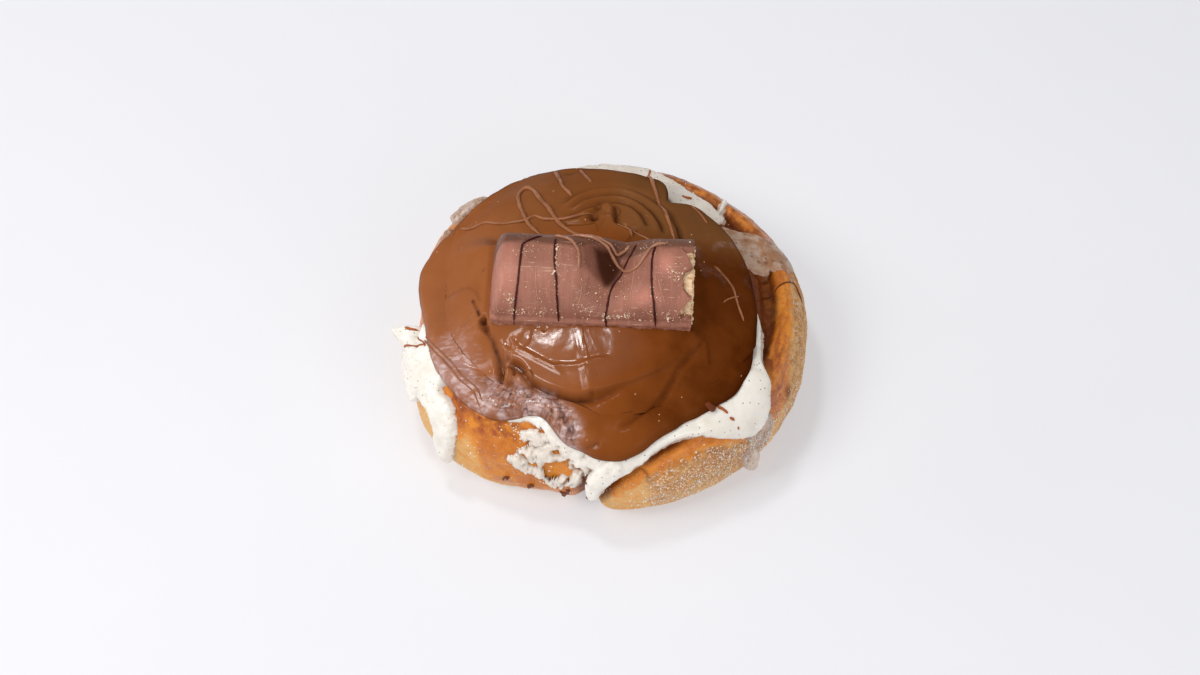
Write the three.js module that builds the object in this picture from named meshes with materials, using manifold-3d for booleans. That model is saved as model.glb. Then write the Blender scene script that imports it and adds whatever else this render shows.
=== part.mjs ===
// Iced cinnamon roll with a poured chocolate cap, chocolate threads and half a wafer bar on top.
// Millimetres, +Z up, origin on the table under the middle of the roll.
import * as THREE from 'three';
import Module from 'manifold-3d';

const wasm = await Module();
wasm.setup();

const DEG = Math.PI / 180;
const SIMPLIFY = 0.05;

// Dough
const MEAN_RADIUS = 52.4;
const RIM_HEIGHT = 31;
const CROWN_HEIGHT = 39;
const CROWN_SPREAD = 43;
const EDGE_INSET = 10;
const EDGE_ARC = 19;
const EDGE_POWER = 0.9;
// Uneven outline of the baked dough: direction in degrees, spread in degrees, bulge in mm
const DOUGH_LOBES = [
  [320, 75, 2.0],
  [216, 22, 4.3],
  [184, 19, -1.4],
  [45, 24, -1.6],
  [100, 38, -1.6],
  [275, 22, 1.2],
  [150, 14, 1.2],
  [256, 13, -3.6],
];
const BACK_DIRECTION = 90;
const BACK_SPREAD = 65;
const BACK_SAG = 2;

// Seam of the rolled strip, counted from its outer end
const STRIP_END = 264;
const SEAM_INNER = 41;
const SEAM_RUN = 18;
const SEAM_RUN_TURN = 45;
const SEAM_DROP = 21;
const SEAM_DROP_TURN = 4;
const SEAM_DEPTH = 3.4;
const SEAM_WIDTH = 2.2;
const END_DEPTH = 4.2;
const END_TURN = 3.2;

// Icing and chocolate are poured outward from one point of the crown
const POUR = { u: -4, v: -7 };
const ICING_BASE_REACH = 40;
const ICING_BASE_THICKNESS = 1.5;
const ICING_EDGE = 1.8;
// Runs of icing past the chocolate: direction, half width in degrees, reach and thickness in mm
const ICING_RUNS = [
  { at: 147, half: 20, reach: 49.5, thickness: 1.8 },
  { at: 196, half: 19, reach: 60, thickness: 3.4 },
  { at: 215, half: 12, reach: 67, thickness: 3.0 },
  { at: 248, half: 11, reach: 51, thickness: 1.8 },
  { at: 260, half: 10, reach: 55.5, thickness: 2.2 },
  { at: 273, half: 10, reach: 54.5, thickness: 3.2 },
  { at: 296, half: 20, reach: 48, thickness: 2.0 },
  { at: 320, half: 20, reach: 57.5, thickness: 2.6 },
  { at: 343, half: 16, reach: 48, thickness: 1.8 },
  { at: 24, half: 17, reach: 54, thickness: 1.2 },
  { at: 62, half: 29, reach: 50.5, thickness: 1.6 },
];
const FLAP = { at: 188, s: 57, spread: 4, lift: 4 };
// Poured layers close inside the dough: height of their middle there, and how far their foot is drawn to it
const BURIED_HEIGHT = 14;
const BURIED_PULL = 0.12;

const CHOCOLATE_REACH = 43.8;
const CHOCOLATE_LOBES = [
  [115, 34, 4.6], [30, 32, -2.6], [54, 6, -7.5], [249, 10, -6.2], [280, 11, 3.8], [327, 16, 2.6],
];
const CHOCOLATE_THICKNESS = 4.6;
const CHOCOLATE_EDGE = 3.2;
const CHOCOLATE_DOME = 3.2;
const CHOCOLATE_DOME_SPREAD = 40;
// Folds in the poured chocolate: each is an arc about its own centre, from one radius to another,
// with a step down to its outer side, a crease cut along it and a swell inside it
const FOLDS = [
  { u: -6, v: -10, from: 178, to: 332, near: 25.5, far: 30, step: 1.4, crease: 0.9, width: 2.6 },
  { u: -6, v: -10, from: 280, to: 345, near: 38, far: 31, step: 0.8, crease: 0.5, width: 1.6 },
  { u: 1, v: 4, from: 15, to: 150, near: 17, far: 19, step: 0.6, crease: 0.5, width: 1.4 },
  { u: -40, v: -12, from: 30, to: 120, near: 8, far: 8, step: 0.7, crease: 0.4, width: 1.5 },
];

// Thick threads of chocolate, as points on the rolled-out surface
const THREAD_RADIUS = 0.75;
const THREADS = [
  [[-39, 17], [-31, 16], [-23, 13], [-15, 12], [-8, 12], [-2, 15]],
  [[-16, 7], [-21, 16], [-23, 24], [-21, 29], [-18, 25], [-13, 14], [-8, 9]],
  [[11, 36], [12, 25], [14, 14], [16, 8]],
  [[-13, 34], [-12, 29], [-9, 22]],
  [[-46, -20], [-41, -26], [-35, -33], [-30, -40]],
  [[26, -1], [31, -7], [34, -15]],
];

// Bar piece: two humps, cut through the second one
const BAR_LENGTH = 52.5;
const BAR_HALF_WIDTH = 11.9;
const BODY_HALF_WIDTH = 11.1;
const FLANGE_HEIGHT = 3;
const PEAK_HEIGHT = 14.8;
const VALLEY_HEIGHT = 8.5;
const VALLEY_AT = 31;
const VALLEY_HALF_LENGTH = 8.5;
// The valley shifts along the bar on its way over the top, and is shallower at the back
const VALLEY_SLANT = 4;
const VALLEY_FADE = 0.4;
// The closed end leans in from its foot to its top
const END_LEAN = { foot: 0.8, top: 2.6, reach: 9 };
const ARCH_POWER = 0.75;
const END_ROUNDING = 2.4;
const END_DROP = 3.2;
// Sections of the bar either side of its valley
const FIRST_HUMP_AT = 14;
const CUT_HUMP_AT = 46.5;
const COAT = 1.2;
const GAP = 0.3;
const BAR_POSE = { x: -4.2, y: -10.4, z: 44.2, yaw: -2.6, pitch: 0, roll: 6 };
const SEAT_RISE = 0.8;
const SEAT_SLOPE = 0.85;
// Dark lines piped across the bar: where they start at the front and end at the back
const BAR_LINES = [[6.2, 9.5], [19.8, 17.5], [31, 35], [43.5, 42.8]];
const LINE_RADIUS = 0.45;
// Chips out of the coat at the cut end: along the bar, across, height, then half sizes
const CHIPS = [
  { x: 52.5, y: 0.5, z: 15, a: 4.2, b: 4.4, c: 3 },
  { x: 52.8, y: -8.4, z: 11, a: 3.4, b: 3.2, c: 3.4 },
  { x: 52.6, y: -11.4, z: 5, a: 4.6, b: 2.4, c: 2.4 },
];

const COLOURS = {
  bun: 0xc98a4b,
  icing: 0xefe8de,
  chocolate: 0x7a4320,
  bar_coating: 0x8f6350,
  bar_wafer: 0xe0bf92,
};

const barPlace = barMatrix();

function turnBetween(a, b) {
  return ((b - a + 540) % 360) - 180;
}

function withLobes(base, lobes, deg) {
  let sum = base;
  for (const [at, spread, out] of lobes) sum += out * Math.exp(-((turnBetween(at, deg) / spread) ** 2));
  return sum;
}

function smooth(from, to, x) {
  const t = Math.min(1, Math.max(0, (x - from) / (to - from)));
  return t * t * (3 - 2 * t);
}

// Rounded edge: 0 at the outline, 1 from the given width inward
function bead(inward, width) {
  const t = Math.min(1, Math.max(0, inward / width));
  return Math.sqrt(1 - (1 - t) ** 2);
}

function polar(u, v) {
  return { deg: Math.atan2(v, u) / DEG, s: Math.hypot(u, v) };
}

// Smooth skin of the dough at a direction and a distance s walked from the crown over the edge
function skinPoint(deg, s) {
  const shoulder = withLobes(MEAN_RADIUS, DOUGH_LOBES, deg) - EDGE_INSET;
  const sag = BACK_SAG * Math.exp(-((turnBetween(BACK_DIRECTION, deg) / BACK_SPREAD) ** 2));
  const rim = RIM_HEIGHT - sag;
  let r = s;
  let z = rim + (CROWN_HEIGHT - rim) * Math.max(0, 1 - (Math.min(s, shoulder) / CROWN_SPREAD) ** 2);
  if (s > shoulder) {
    const swing = Math.max(-1, 1 - (s - shoulder) / EDGE_ARC) * 90 * DEG;
    const half = z / 2;
    r = shoulder + EDGE_INSET * Math.abs(Math.cos(swing)) ** EDGE_POWER;
    z = half + half * Math.sign(swing) * Math.abs(Math.sin(swing)) ** EDGE_POWER;
  }
  return new THREE.Vector3(r * Math.cos(deg * DEG), r * Math.sin(deg * DEG), z);
}

function skinEnd(deg) {
  return withLobes(MEAN_RADIUS, DOUGH_LOBES, deg) - EDGE_INSET + 2 * EDGE_ARC;
}

function skinNormal(deg, s) {
  const at = Math.min(Math.max(s, 1), skinEnd(deg) - 0.4);
  const along = skinPoint(deg, at + 0.3).sub(skinPoint(deg, at - 0.3));
  const around = skinPoint(deg + 0.4, at).sub(skinPoint(deg - 0.4, at));
  const normal = along.cross(around).normalize();
  return s < 1 ? new THREE.Vector3(0, 0, 1) : normal;
}

// Point above the dough skin, given on the rolled-out surface
function above(u, v, height) {
  const { deg, s } = polar(u, v);
  return skinPoint(deg, s).addScaledVector(skinNormal(deg, s), height);
}

function icingRuns(deg) {
  let reach = ICING_BASE_REACH;
  let thickness = ICING_BASE_THICKNESS;
  for (const run of ICING_RUNS) {
    const t = Math.abs(turnBetween(run.at, deg)) / run.half;
    if (t >= 1) continue;
    const window = smooth(1, 0.3, t);
    const here = ICING_BASE_REACH + (run.reach - ICING_BASE_REACH) * window;
    thickness = Math.max(thickness, ICING_BASE_THICKNESS + (run.thickness - ICING_BASE_THICKNESS) * window);
    reach = Math.max(reach, here);
  }
  return { reach, thickness };
}

function pourPolar(u, v) {
  return polar(u - POUR.u, v - POUR.v);
}

function icingHeight(u, v) {
  const { deg, s } = pourPolar(u, v);
  const { reach, thickness } = icingRuns(deg);
  const inward = reach - s;
  const place = polar(u, v);
  const aside = turnBetween(FLAP.at, place.deg) * DEG * MEAN_RADIUS;
  const flap = FLAP.lift * Math.exp(-((aside ** 2 + (place.s - FLAP.s) ** 2) / FLAP.spread ** 2));
  const lumps = 0.35 * Math.sin(0.55 * u + 1) * Math.sin(0.5 * v) * smooth(1, 4, inward);
  return (thickness + flap + lumps) * bead(inward, ICING_EDGE);
}

function chocolateReach(deg) {
  return withLobes(CHOCOLATE_REACH, CHOCOLATE_LOBES, deg);
}

function foldRelief(u, v) {
  let sum = 0;
  for (const fold of FOLDS) {
    const { deg, s } = polar(u - fold.u, v - fold.v);
    const turn = (deg - fold.from + 720) % 360;
    const span = fold.to - fold.from;
    if (turn > span) continue;
    const share = turn / span;
    const fade = smooth(0, 0.14, share) * smooth(1, 0.86, share);
    const off = s - (fold.near + (fold.far - fold.near) * share);
    const swell = fold.step * smooth(2, -1.5, off) * smooth(-14, -4, off);
    sum += fade * (swell - fold.crease * Math.exp(-(((off - 0.6) / fold.width) ** 2)));
  }
  return sum;
}

function chocolateHeight(u, v) {
  const { deg, s } = pourPolar(u, v);
  const inward = chocolateReach(deg) - s;
  const place = polar(u, v);
  const dome = CHOCOLATE_DOME * Math.max(0, 1 - (place.s / CHOCOLATE_DOME_SPREAD) ** 4);
  const rim = 0.5 * Math.exp(-(((inward - 3.4) / 2.2) ** 2));
  const relief = foldRelief(u, v) * smooth(1.5, 6, inward);
  const poured = (CHOCOLATE_THICKNESS + dome + rim + relief) * bead(inward, CHOCOLATE_EDGE);
  return poured + seatRise(u, v, poured);
}

// Extra chocolate that wells up against the foot of the bar
function seatRise(u, v, poured) {
  const point = above(u, v, poured);
  const local = point.clone().applyMatrix4(barPlace.clone().invert());
  const aside = Math.max(0, Math.abs(local.y) - BAR_HALF_WIDTH);
  const beyond = Math.max(0, -local.x, local.x - BAR_LENGTH);
  const gap = SEAT_RISE - local.z - SEAT_SLOPE * Math.hypot(aside, beyond);
  return Math.min(4, Math.max(0, gap));
}

// How bare the dough is: 0 under icing or chocolate, 1 a few mm outside both
function bareness(u, v) {
  const { deg, s } = pourPolar(u, v);
  const cover = Math.max(chocolateReach(deg), icingRuns(deg).reach);
  return smooth(-3, 0.5, s - cover);
}

function seamDepth(deg, s) {
  const turn = (deg - STRIP_END + 720) % 360;
  const run = SEAM_RUN * Math.exp(-turn / SEAM_RUN_TURN);
  const drop = SEAM_DROP * Math.exp(-turn / SEAM_DROP_TURN);
  const slope = (run / SEAM_RUN_TURN + drop / SEAM_DROP_TURN) / (DEG * Math.max(s, 10));
  const off = (s - (SEAM_INNER + run + drop)) / Math.hypot(1, slope);
  const seam = SEAM_DEPTH * Math.exp(-((off / SEAM_WIDTH) ** 2));
  const end = END_DEPTH * Math.exp(-((turnBetween(STRIP_END, deg) / END_TURN) ** 2)) * smooth(52, 60, s);
  return Math.max(seam, end);
}

function toSolid(points, faces) {
  const vertProperties = new Float32Array(points.length * 3);
  points.forEach((p, i) => p.toArray(vertProperties, i * 3));
  return new wasm.Manifold(new wasm.Mesh({ numProp: 3, vertProperties, triVerts: new Uint32Array(faces) }));
}

// Closed solid from rings of points, turned right side out
function loft(rings, start, end) {
  const count = rings[0].length;
  const points = [start, ...rings.flat(), end];
  const faces = [];
  const last = points.length - 1;
  for (let i = 0; i < count; i += 1) {
    const next = (i + 1) % count;
    faces.push(0, 1 + i, 1 + next);
    for (let j = 0; j + 1 < rings.length; j += 1) {
      const a = 1 + j * count;
      const b = a + count;
      faces.push(a + i, b + i, b + next, a + i, b + next, a + next);
    }
    const base = 1 + (rings.length - 1) * count;
    faces.push(last, base + next, base + i);
  }
  const solid = toSolid(points, faces);
  return solid.volume() > 0 ? solid : toSolid(points, faces.reverse());
}

function rowStops(spans) {
  const stops = [];
  for (const [from, to, count] of spans) {
    for (let i = 1; i <= count; i += 1) stops.push(from + ((to - from) * i) / count);
  }
  return stops;
}

function columnAngles(count, gather) {
  const angles = [];
  for (let i = 0; i < count; i += 1) {
    const share = i / count;
    angles.push(STRIP_END + 360 * (share - (gather * Math.sin(2 * Math.PI * share)) / (2 * Math.PI)));
  }
  return angles;
}

// Dough solid, or a grown copy of its smooth skin that clears what lies on it
function doughSolid(columns, spans, height) {
  const angles = columnAngles(columns, 0.35);
  const stops = rowStops(spans);
  const reach = stops[stops.length - 1];
  const stretchFrom = 58;
  const rings = stops.map((stop) => angles.map((deg) => {
    const share = Math.max(0, stop - stretchFrom) / (reach - stretchFrom);
    const s = Math.min(stop, stretchFrom) + share * (skinEnd(deg) - stretchFrom);
    const point = skinPoint(deg, s).addScaledVector(skinNormal(deg, s), height(deg, s));
    if (stop === reach) point.z = Math.min(0, point.z);
    point.z = stop === reach ? point.z : Math.max(0, point.z);
    return point;
  }));
  const floor = Math.min(...rings[rings.length - 1].map((p) => p.z));
  rings[rings.length - 1].forEach((p) => { p.z = floor; });
  const top = skinPoint(0, 0).add(new THREE.Vector3(0, 0, height(0, 0)));
  return loft(rings, top, new THREE.Vector3(0, 0, floor));
}

// Poured layer: a cap above the dough skin whose underside is buried in the dough
function pouredSolid(columns, inner, edges, reachAt, heightAt, grow = 0) {
  const rings = [];
  const distances = [];
  for (let i = 1; i <= inner; i += 1) distances.push({ share: i / inner });
  for (const edge of edges) distances.push({ edge });
  for (const distance of distances) {
    rings.push(Array.from({ length: columns }, (_, i) => {
      const deg = (360 * i) / columns;
      const reach = reachAt(deg);
      const core = reach - edges[0] - 2;
      const s = distance.share ? core * distance.share : reach - distance.edge;
      const u = POUR.u + s * Math.cos(deg * DEG);
      const v = POUR.v + s * Math.sin(deg * DEG);
      const shift = 1 + (grow * Math.max(0, 1 - (reach - s) / 3)) / s;
      const height = distance.edge === 0 ? -0.8 : heightAt(u, v);
      return above(POUR.u + (u - POUR.u) * shift, POUR.v + (v - POUR.v) * shift, height + grow);
    }));
  }
  rings.push(rings[rings.length - 1].map((p) => p.clone().lerp(new THREE.Vector3(0, 0, BURIED_HEIGHT), BURIED_PULL)));
  const middle = above(POUR.u, POUR.v, heightAt(POUR.u, POUR.v));
  return loft(rings, middle, new THREE.Vector3(POUR.u, POUR.v, BURIED_HEIGHT));
}

// Round thread along a curve, tapered at both ends
function threadSolid(points, radius, steps, sides) {
  const curve = new THREE.CatmullRomCurve3(points, false, 'centripetal');
  const rings = [];
  for (let i = 0; i <= steps; i += 1) {
    const share = i / steps;
    const tangent = curve.getTangentAt(share);
    const side = new THREE.Vector3(0, 0, 1).cross(tangent).normalize();
    const up = tangent.clone().cross(side);
    const size = radius * (0.45 + 0.55 * smooth(0, 0.1, share) * smooth(1, 0.9, share));
    const centre = curve.getPointAt(share);
    rings.push(Array.from({ length: sides }, (_, k) => {
      const angle = (2 * Math.PI * k) / sides;
      const ring = centre.clone().addScaledVector(side, size * Math.cos(angle));
      return ring.addScaledVector(up, size * Math.sin(angle));
    }));
  }
  const first = curve.getPointAt(0).addScaledVector(curve.getTangentAt(0), -0.3 * radius);
  const final = curve.getPointAt(1).addScaledVector(curve.getTangentAt(1), 0.3 * radius);
  return loft(rings, first, final);
}

// Height of the bar over its base at x, where degrees runs from 0 at the front foot to 180 at the back
function barHeight(x, degrees) {
  const valley = VALLEY_AT + VALLEY_SLANT * smooth(60, 125, degrees);
  const depth = (PEAK_HEIGHT - VALLEY_HEIGHT) * (1 - VALLEY_FADE * smooth(95, 140, degrees));
  const dip = Math.max(0, 1 - Math.abs(x - valley) / VALLEY_HALF_LENGTH);
  const rounded = dip * dip * (3 - 2 * dip) * 0.5 + dip * 0.5;
  return PEAK_HEIGHT - depth * rounded;
}

// Point of the bar, moved inward where the closed end leans
function leaned(x, y, z) {
  const near = Math.min(1, Math.max(0, 1 - x / END_LEAN.reach));
  const rise = Math.min(1, Math.max(0, z / PEAK_HEIGHT)) ** 1.5;
  return new THREE.Vector3(x + near * (END_LEAN.foot + END_LEAN.top * rise), y, z);
}

// Cross-section of the bar at x, shrunk by an inset; runs from one foot over the arch to the other
function barSection(x, inset, arch) {
  const start = Math.max(0, (END_ROUNDING + inset - x) / END_ROUNDING);
  const ease = 1 - Math.sqrt(Math.max(0, 1 - Math.min(1, start) ** 2));
  const foot = BAR_HALF_WIDTH - inset - 0.8 * ease;
  const body = BODY_HALF_WIDTH - inset - 1.6 * ease;
  const flange = FLANGE_HEIGHT - 0.6 * inset;
  const base = FLANGE_HEIGHT + 0.5 - 0.5 * inset;
  const points = [leaned(x, foot, inset), leaned(x, foot, flange)];
  for (let i = 0; i <= arch; i += 1) {
    const angle = (Math.PI * i) / arch;
    const top = barHeight(x, 180 - angle / DEG) - inset - END_DROP * ease;
    const y = body * Math.sign(Math.cos(angle)) * Math.abs(Math.cos(angle)) ** ARCH_POWER;
    const rise = Math.abs(Math.sin(angle)) ** ARCH_POWER;
    points.push(leaned(x, y, base + (top - base) * rise));
  }
  points.push(leaned(x, -foot, flange), leaned(x, -foot, inset));
  return points;
}

// Bar shape between two ends, with sections in the rounded end and evenly over the valley
function barSolid(from, to, inset, valleySteps, arch) {
  const stops = [from, from + 0.25 * END_ROUNDING, from + 0.6 * END_ROUNDING, from + END_ROUNDING, FIRST_HUMP_AT];
  for (let i = 0; i <= valleySteps; i += 1) {
    stops.push(VALLEY_AT - VALLEY_HALF_LENGTH + ((2 * VALLEY_HALF_LENGTH + VALLEY_SLANT) * i) / valleySteps);
  }
  const rings = [...stops, CUT_HUMP_AT, to].map((x) => barSection(x, inset, arch));
  const middle = (ring) => {
    const sum = ring.reduce((total, p) => total.add(p), new THREE.Vector3());
    return sum.divideScalar(ring.length);
  };
  return loft(rings, middle(rings[0]), middle(rings[rings.length - 1]));
}

function barLine(front, back) {
  const points = [];
  for (let i = 0; i <= 8; i += 1) {
    const angle = Math.PI * (0.02 + (0.8 * i) / 8);
    const x = front + ((back - front) * i) / 8;
    const y = -BODY_HALF_WIDTH * Math.sign(Math.cos(angle)) * Math.abs(Math.cos(angle)) ** ARCH_POWER;
    const base = FLANGE_HEIGHT + 0.5;
    points.push(leaned(x, y, base + (barHeight(x, angle / DEG) - base) * Math.sin(angle) ** ARCH_POWER));
  }
  return threadSolid(points, LINE_RADIUS, 12, 5);
}

function chipSolid({ x, y, z, a, b, c }) {
  const sides = 7;
  const rings = [0.35, 0.95, 0.6].map((size, j) => Array.from({ length: sides }, (_, k) => {
    const angle = (2 * Math.PI * (k + 0.4 * j)) / sides;
    const along = x + a * (0.7 - 0.7 * j);
    return new THREE.Vector3(along, y + b * size * Math.cos(angle), z + c * size * Math.sin(angle));
  }));
  return loft(rings, new THREE.Vector3(x + a, y, z), new THREE.Vector3(x - a, y, z));
}

function barMatrix() {
  const turn = new THREE.Euler(BAR_POSE.roll * DEG, BAR_POSE.pitch * DEG, BAR_POSE.yaw * DEG, 'ZYX');
  const matrix = new THREE.Matrix4().makeRotationFromEuler(turn);
  matrix.setPosition(BAR_POSE.x, BAR_POSE.y, BAR_POSE.z);
  return matrix.multiply(new THREE.Matrix4().makeTranslation(-BAR_LENGTH / 2, 0, 0));
}

function placed(solid, matrix) {
  return solid.transform(matrix.toArray());
}

// Largest body of a solid, without slivers left by the cuts
function mainBody(solid) {
  const bodies = solid.decompose();
  const body = bodies.reduce((best, other) => (other.volume() > best.volume() ? other : best));
  return body.simplify(SIMPLIFY);
}

function meshFrom(name, solid) {
  const { vertProperties, triVerts, numProp } = solid.getMesh();
  const positions = new Float32Array((vertProperties.length / numProp) * 3);
  for (let i = 0; i * numProp < vertProperties.length; i += 1) {
    for (let k = 0; k < 3; k += 1) positions[i * 3 + k] = vertProperties[i * numProp + k];
  }
  const geometry = new THREE.BufferGeometry();
  geometry.setAttribute('position', new THREE.BufferAttribute(positions, 3));
  geometry.setIndex(new THREE.BufferAttribute(new Uint32Array(triVerts), 1));
  geometry.computeVertexNormals();
  const material = new THREE.MeshStandardMaterial({ color: COLOURS[name], roughness: 0.5 });
  const mesh = new THREE.Mesh(geometry, material);
  mesh.name = name;
  return mesh;
}

const bunSpans = [[0, 36, 4], [36, 58, 12], [58, 80.4, 7]];
const skinSpans = [[0, 36, 2], [36, 66, 9], [66, 80.4, 3]];
const bun = doughSolid(78, bunSpans, (deg, s) => {
  const u = s * Math.cos(deg * DEG);
  const v = s * Math.sin(deg * DEG);
  return -seamDepth(deg, s) * bareness(u, v);
});
const bunSkin = doughSolid(52, skinSpans, () => 0.6);

const icingEdges = [7, 4, 2.2, 1, 0.3, 0];
const icingReach = (deg) => icingRuns(deg).reach;
const icing = mainBody(pouredSolid(86, 2, icingEdges, icingReach, icingHeight).subtract(bunSkin));
const icingGrown = pouredSolid(86, 2, icingEdges, icingReach, icingHeight, 0.5);

const barGrown = placed(barSolid(-GAP, BAR_LENGTH + GAP, -GAP, 12, 12), barPlace);

const chocolateEdges = [7, 4.6, 2.8, 1.5, 0.5, 0];
let chocolate = pouredSolid(76, 11, chocolateEdges, chocolateReach, chocolateHeight);
for (const thread of THREADS) {
  const points = thread.map(([u, v]) => above(u, v, chocolateHeight(u, v) + 0.15));
  chocolate = chocolate.add(threadSolid(points, THREAD_RADIUS, 12, 5));
}
chocolate = mainBody(chocolate.subtract(bunSkin).subtract(icingGrown).subtract(barGrown));

let coating = barSolid(0, BAR_LENGTH, 0, 12, 12);
for (const [front, back] of BAR_LINES) coating = coating.add(barLine(front, back));
coating = coating.subtract(barSolid(COAT, BAR_LENGTH + 2, COAT, 6, 8));
for (const chip of CHIPS) coating = coating.subtract(chipSolid(chip));
coating = placed(mainBody(coating), barPlace);
const wafer = placed(barSolid(COAT + GAP, BAR_LENGTH - 0.2, COAT + GAP, 6, 8), barPlace);

const roll = new THREE.Group();
roll.name = 'cinnamon_roll';
roll.add(meshFrom('bun', bun));
roll.add(meshFrom('icing', icing));
roll.add(meshFrom('chocolate', chocolate));
roll.add(meshFrom('bar_coating', coating));
roll.add(meshFrom('bar_wafer', wafer));

export default roll;
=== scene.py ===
import logging
import math
from dataclasses import dataclass
from enum import Enum
from typing import Callable, Iterable, Sequence

import bpy
import numpy as np
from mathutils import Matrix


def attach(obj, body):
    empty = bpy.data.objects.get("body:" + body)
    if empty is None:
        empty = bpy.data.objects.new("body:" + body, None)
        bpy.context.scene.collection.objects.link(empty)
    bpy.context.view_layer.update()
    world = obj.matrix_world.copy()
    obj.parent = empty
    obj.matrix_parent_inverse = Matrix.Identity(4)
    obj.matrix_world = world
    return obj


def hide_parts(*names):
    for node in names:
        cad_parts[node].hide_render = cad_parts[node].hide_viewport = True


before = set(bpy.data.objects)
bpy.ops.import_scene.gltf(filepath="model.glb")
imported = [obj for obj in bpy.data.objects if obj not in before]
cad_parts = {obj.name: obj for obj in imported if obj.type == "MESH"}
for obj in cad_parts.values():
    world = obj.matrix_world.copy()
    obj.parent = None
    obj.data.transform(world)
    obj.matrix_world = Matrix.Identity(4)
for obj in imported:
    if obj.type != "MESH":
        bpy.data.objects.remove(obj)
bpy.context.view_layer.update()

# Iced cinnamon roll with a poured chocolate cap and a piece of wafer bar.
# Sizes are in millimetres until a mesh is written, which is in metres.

log = logging.getLogger("roll")
MM = 0.001
NO_LAYER = -9.0  # a height that stands for no layer
ARC = 0.2  # mm along the bar's arch per degree
MIX_SHARE, MIX_BELOW, MIX_ABOVE, MIX_COLOUR = 0, 6, 7, 2  # places of a Mix node's colour sockets
Array = np.ndarray
Point = tuple[float, ...]
Line = tuple[Point, ...]
Mesh = tuple[Array, Sequence[Sequence[int]]]
Piece = bpy.types.Object
Material = bpy.types.Material
Tree = bpy.types.NodeTree
Socket = bpy.types.NodeSocket
Value = Socket | float


# Numbers and shapes


def ease(low: float, high: float, x: Array | float) -> Array:
    """Smooth step from 0 at low to 1 at high; low may be above high."""
    t = np.clip((np.asarray(x, float) - low) / (high - low), 0.0, 1.0)
    return t * t * (3 - 2 * t)


def turn_from(at: float, deg: Array) -> Array:
    """Signed turn in degrees from one direction to others."""
    return (np.asarray(deg, float) - at + 540.0) % 360.0 - 180.0


def hump(x: Array, width: float) -> Array:
    """Soft bump of height 1 that is down to a third at the given width."""
    return np.exp(-((x / width) ** 2))


def facing(deg: Array, at: float, spread: float) -> Array:
    """Soft bump around a direction."""
    return hump(turn_from(at, deg), spread)


def lobed(base: float, lobes: Line, deg: Array) -> Array:
    """Radius in each direction: a base with a soft bulge at each lobe."""
    return base + sum(bulge * facing(deg, at, spread) for at, spread, bulge in lobes)


def bead(inward: Array, width: float) -> Array:
    """Rounded edge profile: 0 at the outline, 1 from the given width inward."""
    t = np.clip(inward / width, 0.0, 1.0)
    return np.sqrt(np.clip(1 - (1 - t) ** 2, 0, 1))


def unit(vectors: Array) -> Array:
    """Vectors scaled to a length of 1."""
    return vectors / np.maximum(np.linalg.norm(vectors, axis=-1, keepdims=True), 1e-9)


def unrolled(deg: Array, s: Array | float) -> tuple[Array, Array]:
    """Place on the rolled-out surface, from a direction and a distance walked."""
    return s * np.cos(np.radians(deg)), s * np.sin(np.radians(deg))


def polar(u: Array, v: Array) -> tuple[Array, Array]:
    """Direction and distance walked of a place on the rolled-out surface."""
    return np.degrees(np.arctan2(v, u)), np.hypot(u, v)


class Noise:
    """Repeatable smooth noise over points in space."""

    def __init__(self, seed: int) -> None:
        """Draw the table of gradients.

        Args:
            seed: which of the possible patterns to make.
        """
        rng = np.random.default_rng(seed)
        self.order = rng.permutation(256)
        self.lean = unit(rng.normal(size=(256, 3)))

    def single(self, points: Array) -> Array:
        """One octave, about -1 to 1, with features one unit apart."""
        cell = np.floor(points).astype(int)
        part = points - cell
        fade = part * part * part * (part * (part * 6 - 15) + 10)
        total = np.zeros(points.shape[:-1])
        for corner in range(8):
            step = np.array([corner & 1, (corner >> 1) & 1, corner >> 2])
            at = (cell + step) & 255
            pick = self.order[(self.order[(self.order[at[..., 0]] + at[..., 1]) & 255] + at[..., 2]) & 255]
            weight = np.where(step, fade, 1 - fade).prod(axis=-1)
            total += weight * (self.lean[pick] * (part - step)).sum(axis=-1)
        return total * 1.6

    def __call__(self, points: Array, size: float, octaves: int = 3, keep: float = 0.5) -> Array:
        """Several octaves added up.

        Args:
            points: where, in mm.
            size: distance between the largest features, in mm.
            octaves: number of octaves, each half the size of the one before.
            keep: strength of each octave against the one before.

        Returns:
            One value per point, about -1 to 1.
        """
        total = np.zeros(points.shape[:-1])
        strength = 1.0
        for octave in range(octaves):
            total += strength * self.single(points / (size / 2**octave) + 17.3 * octave)
            strength *= keep
        return total


def flat_points(u: Array, v: Array) -> Array:
    """Points of the rolled-out surface as noise coordinates."""
    return np.stack([u, v, np.zeros_like(u)], axis=-1)


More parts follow.
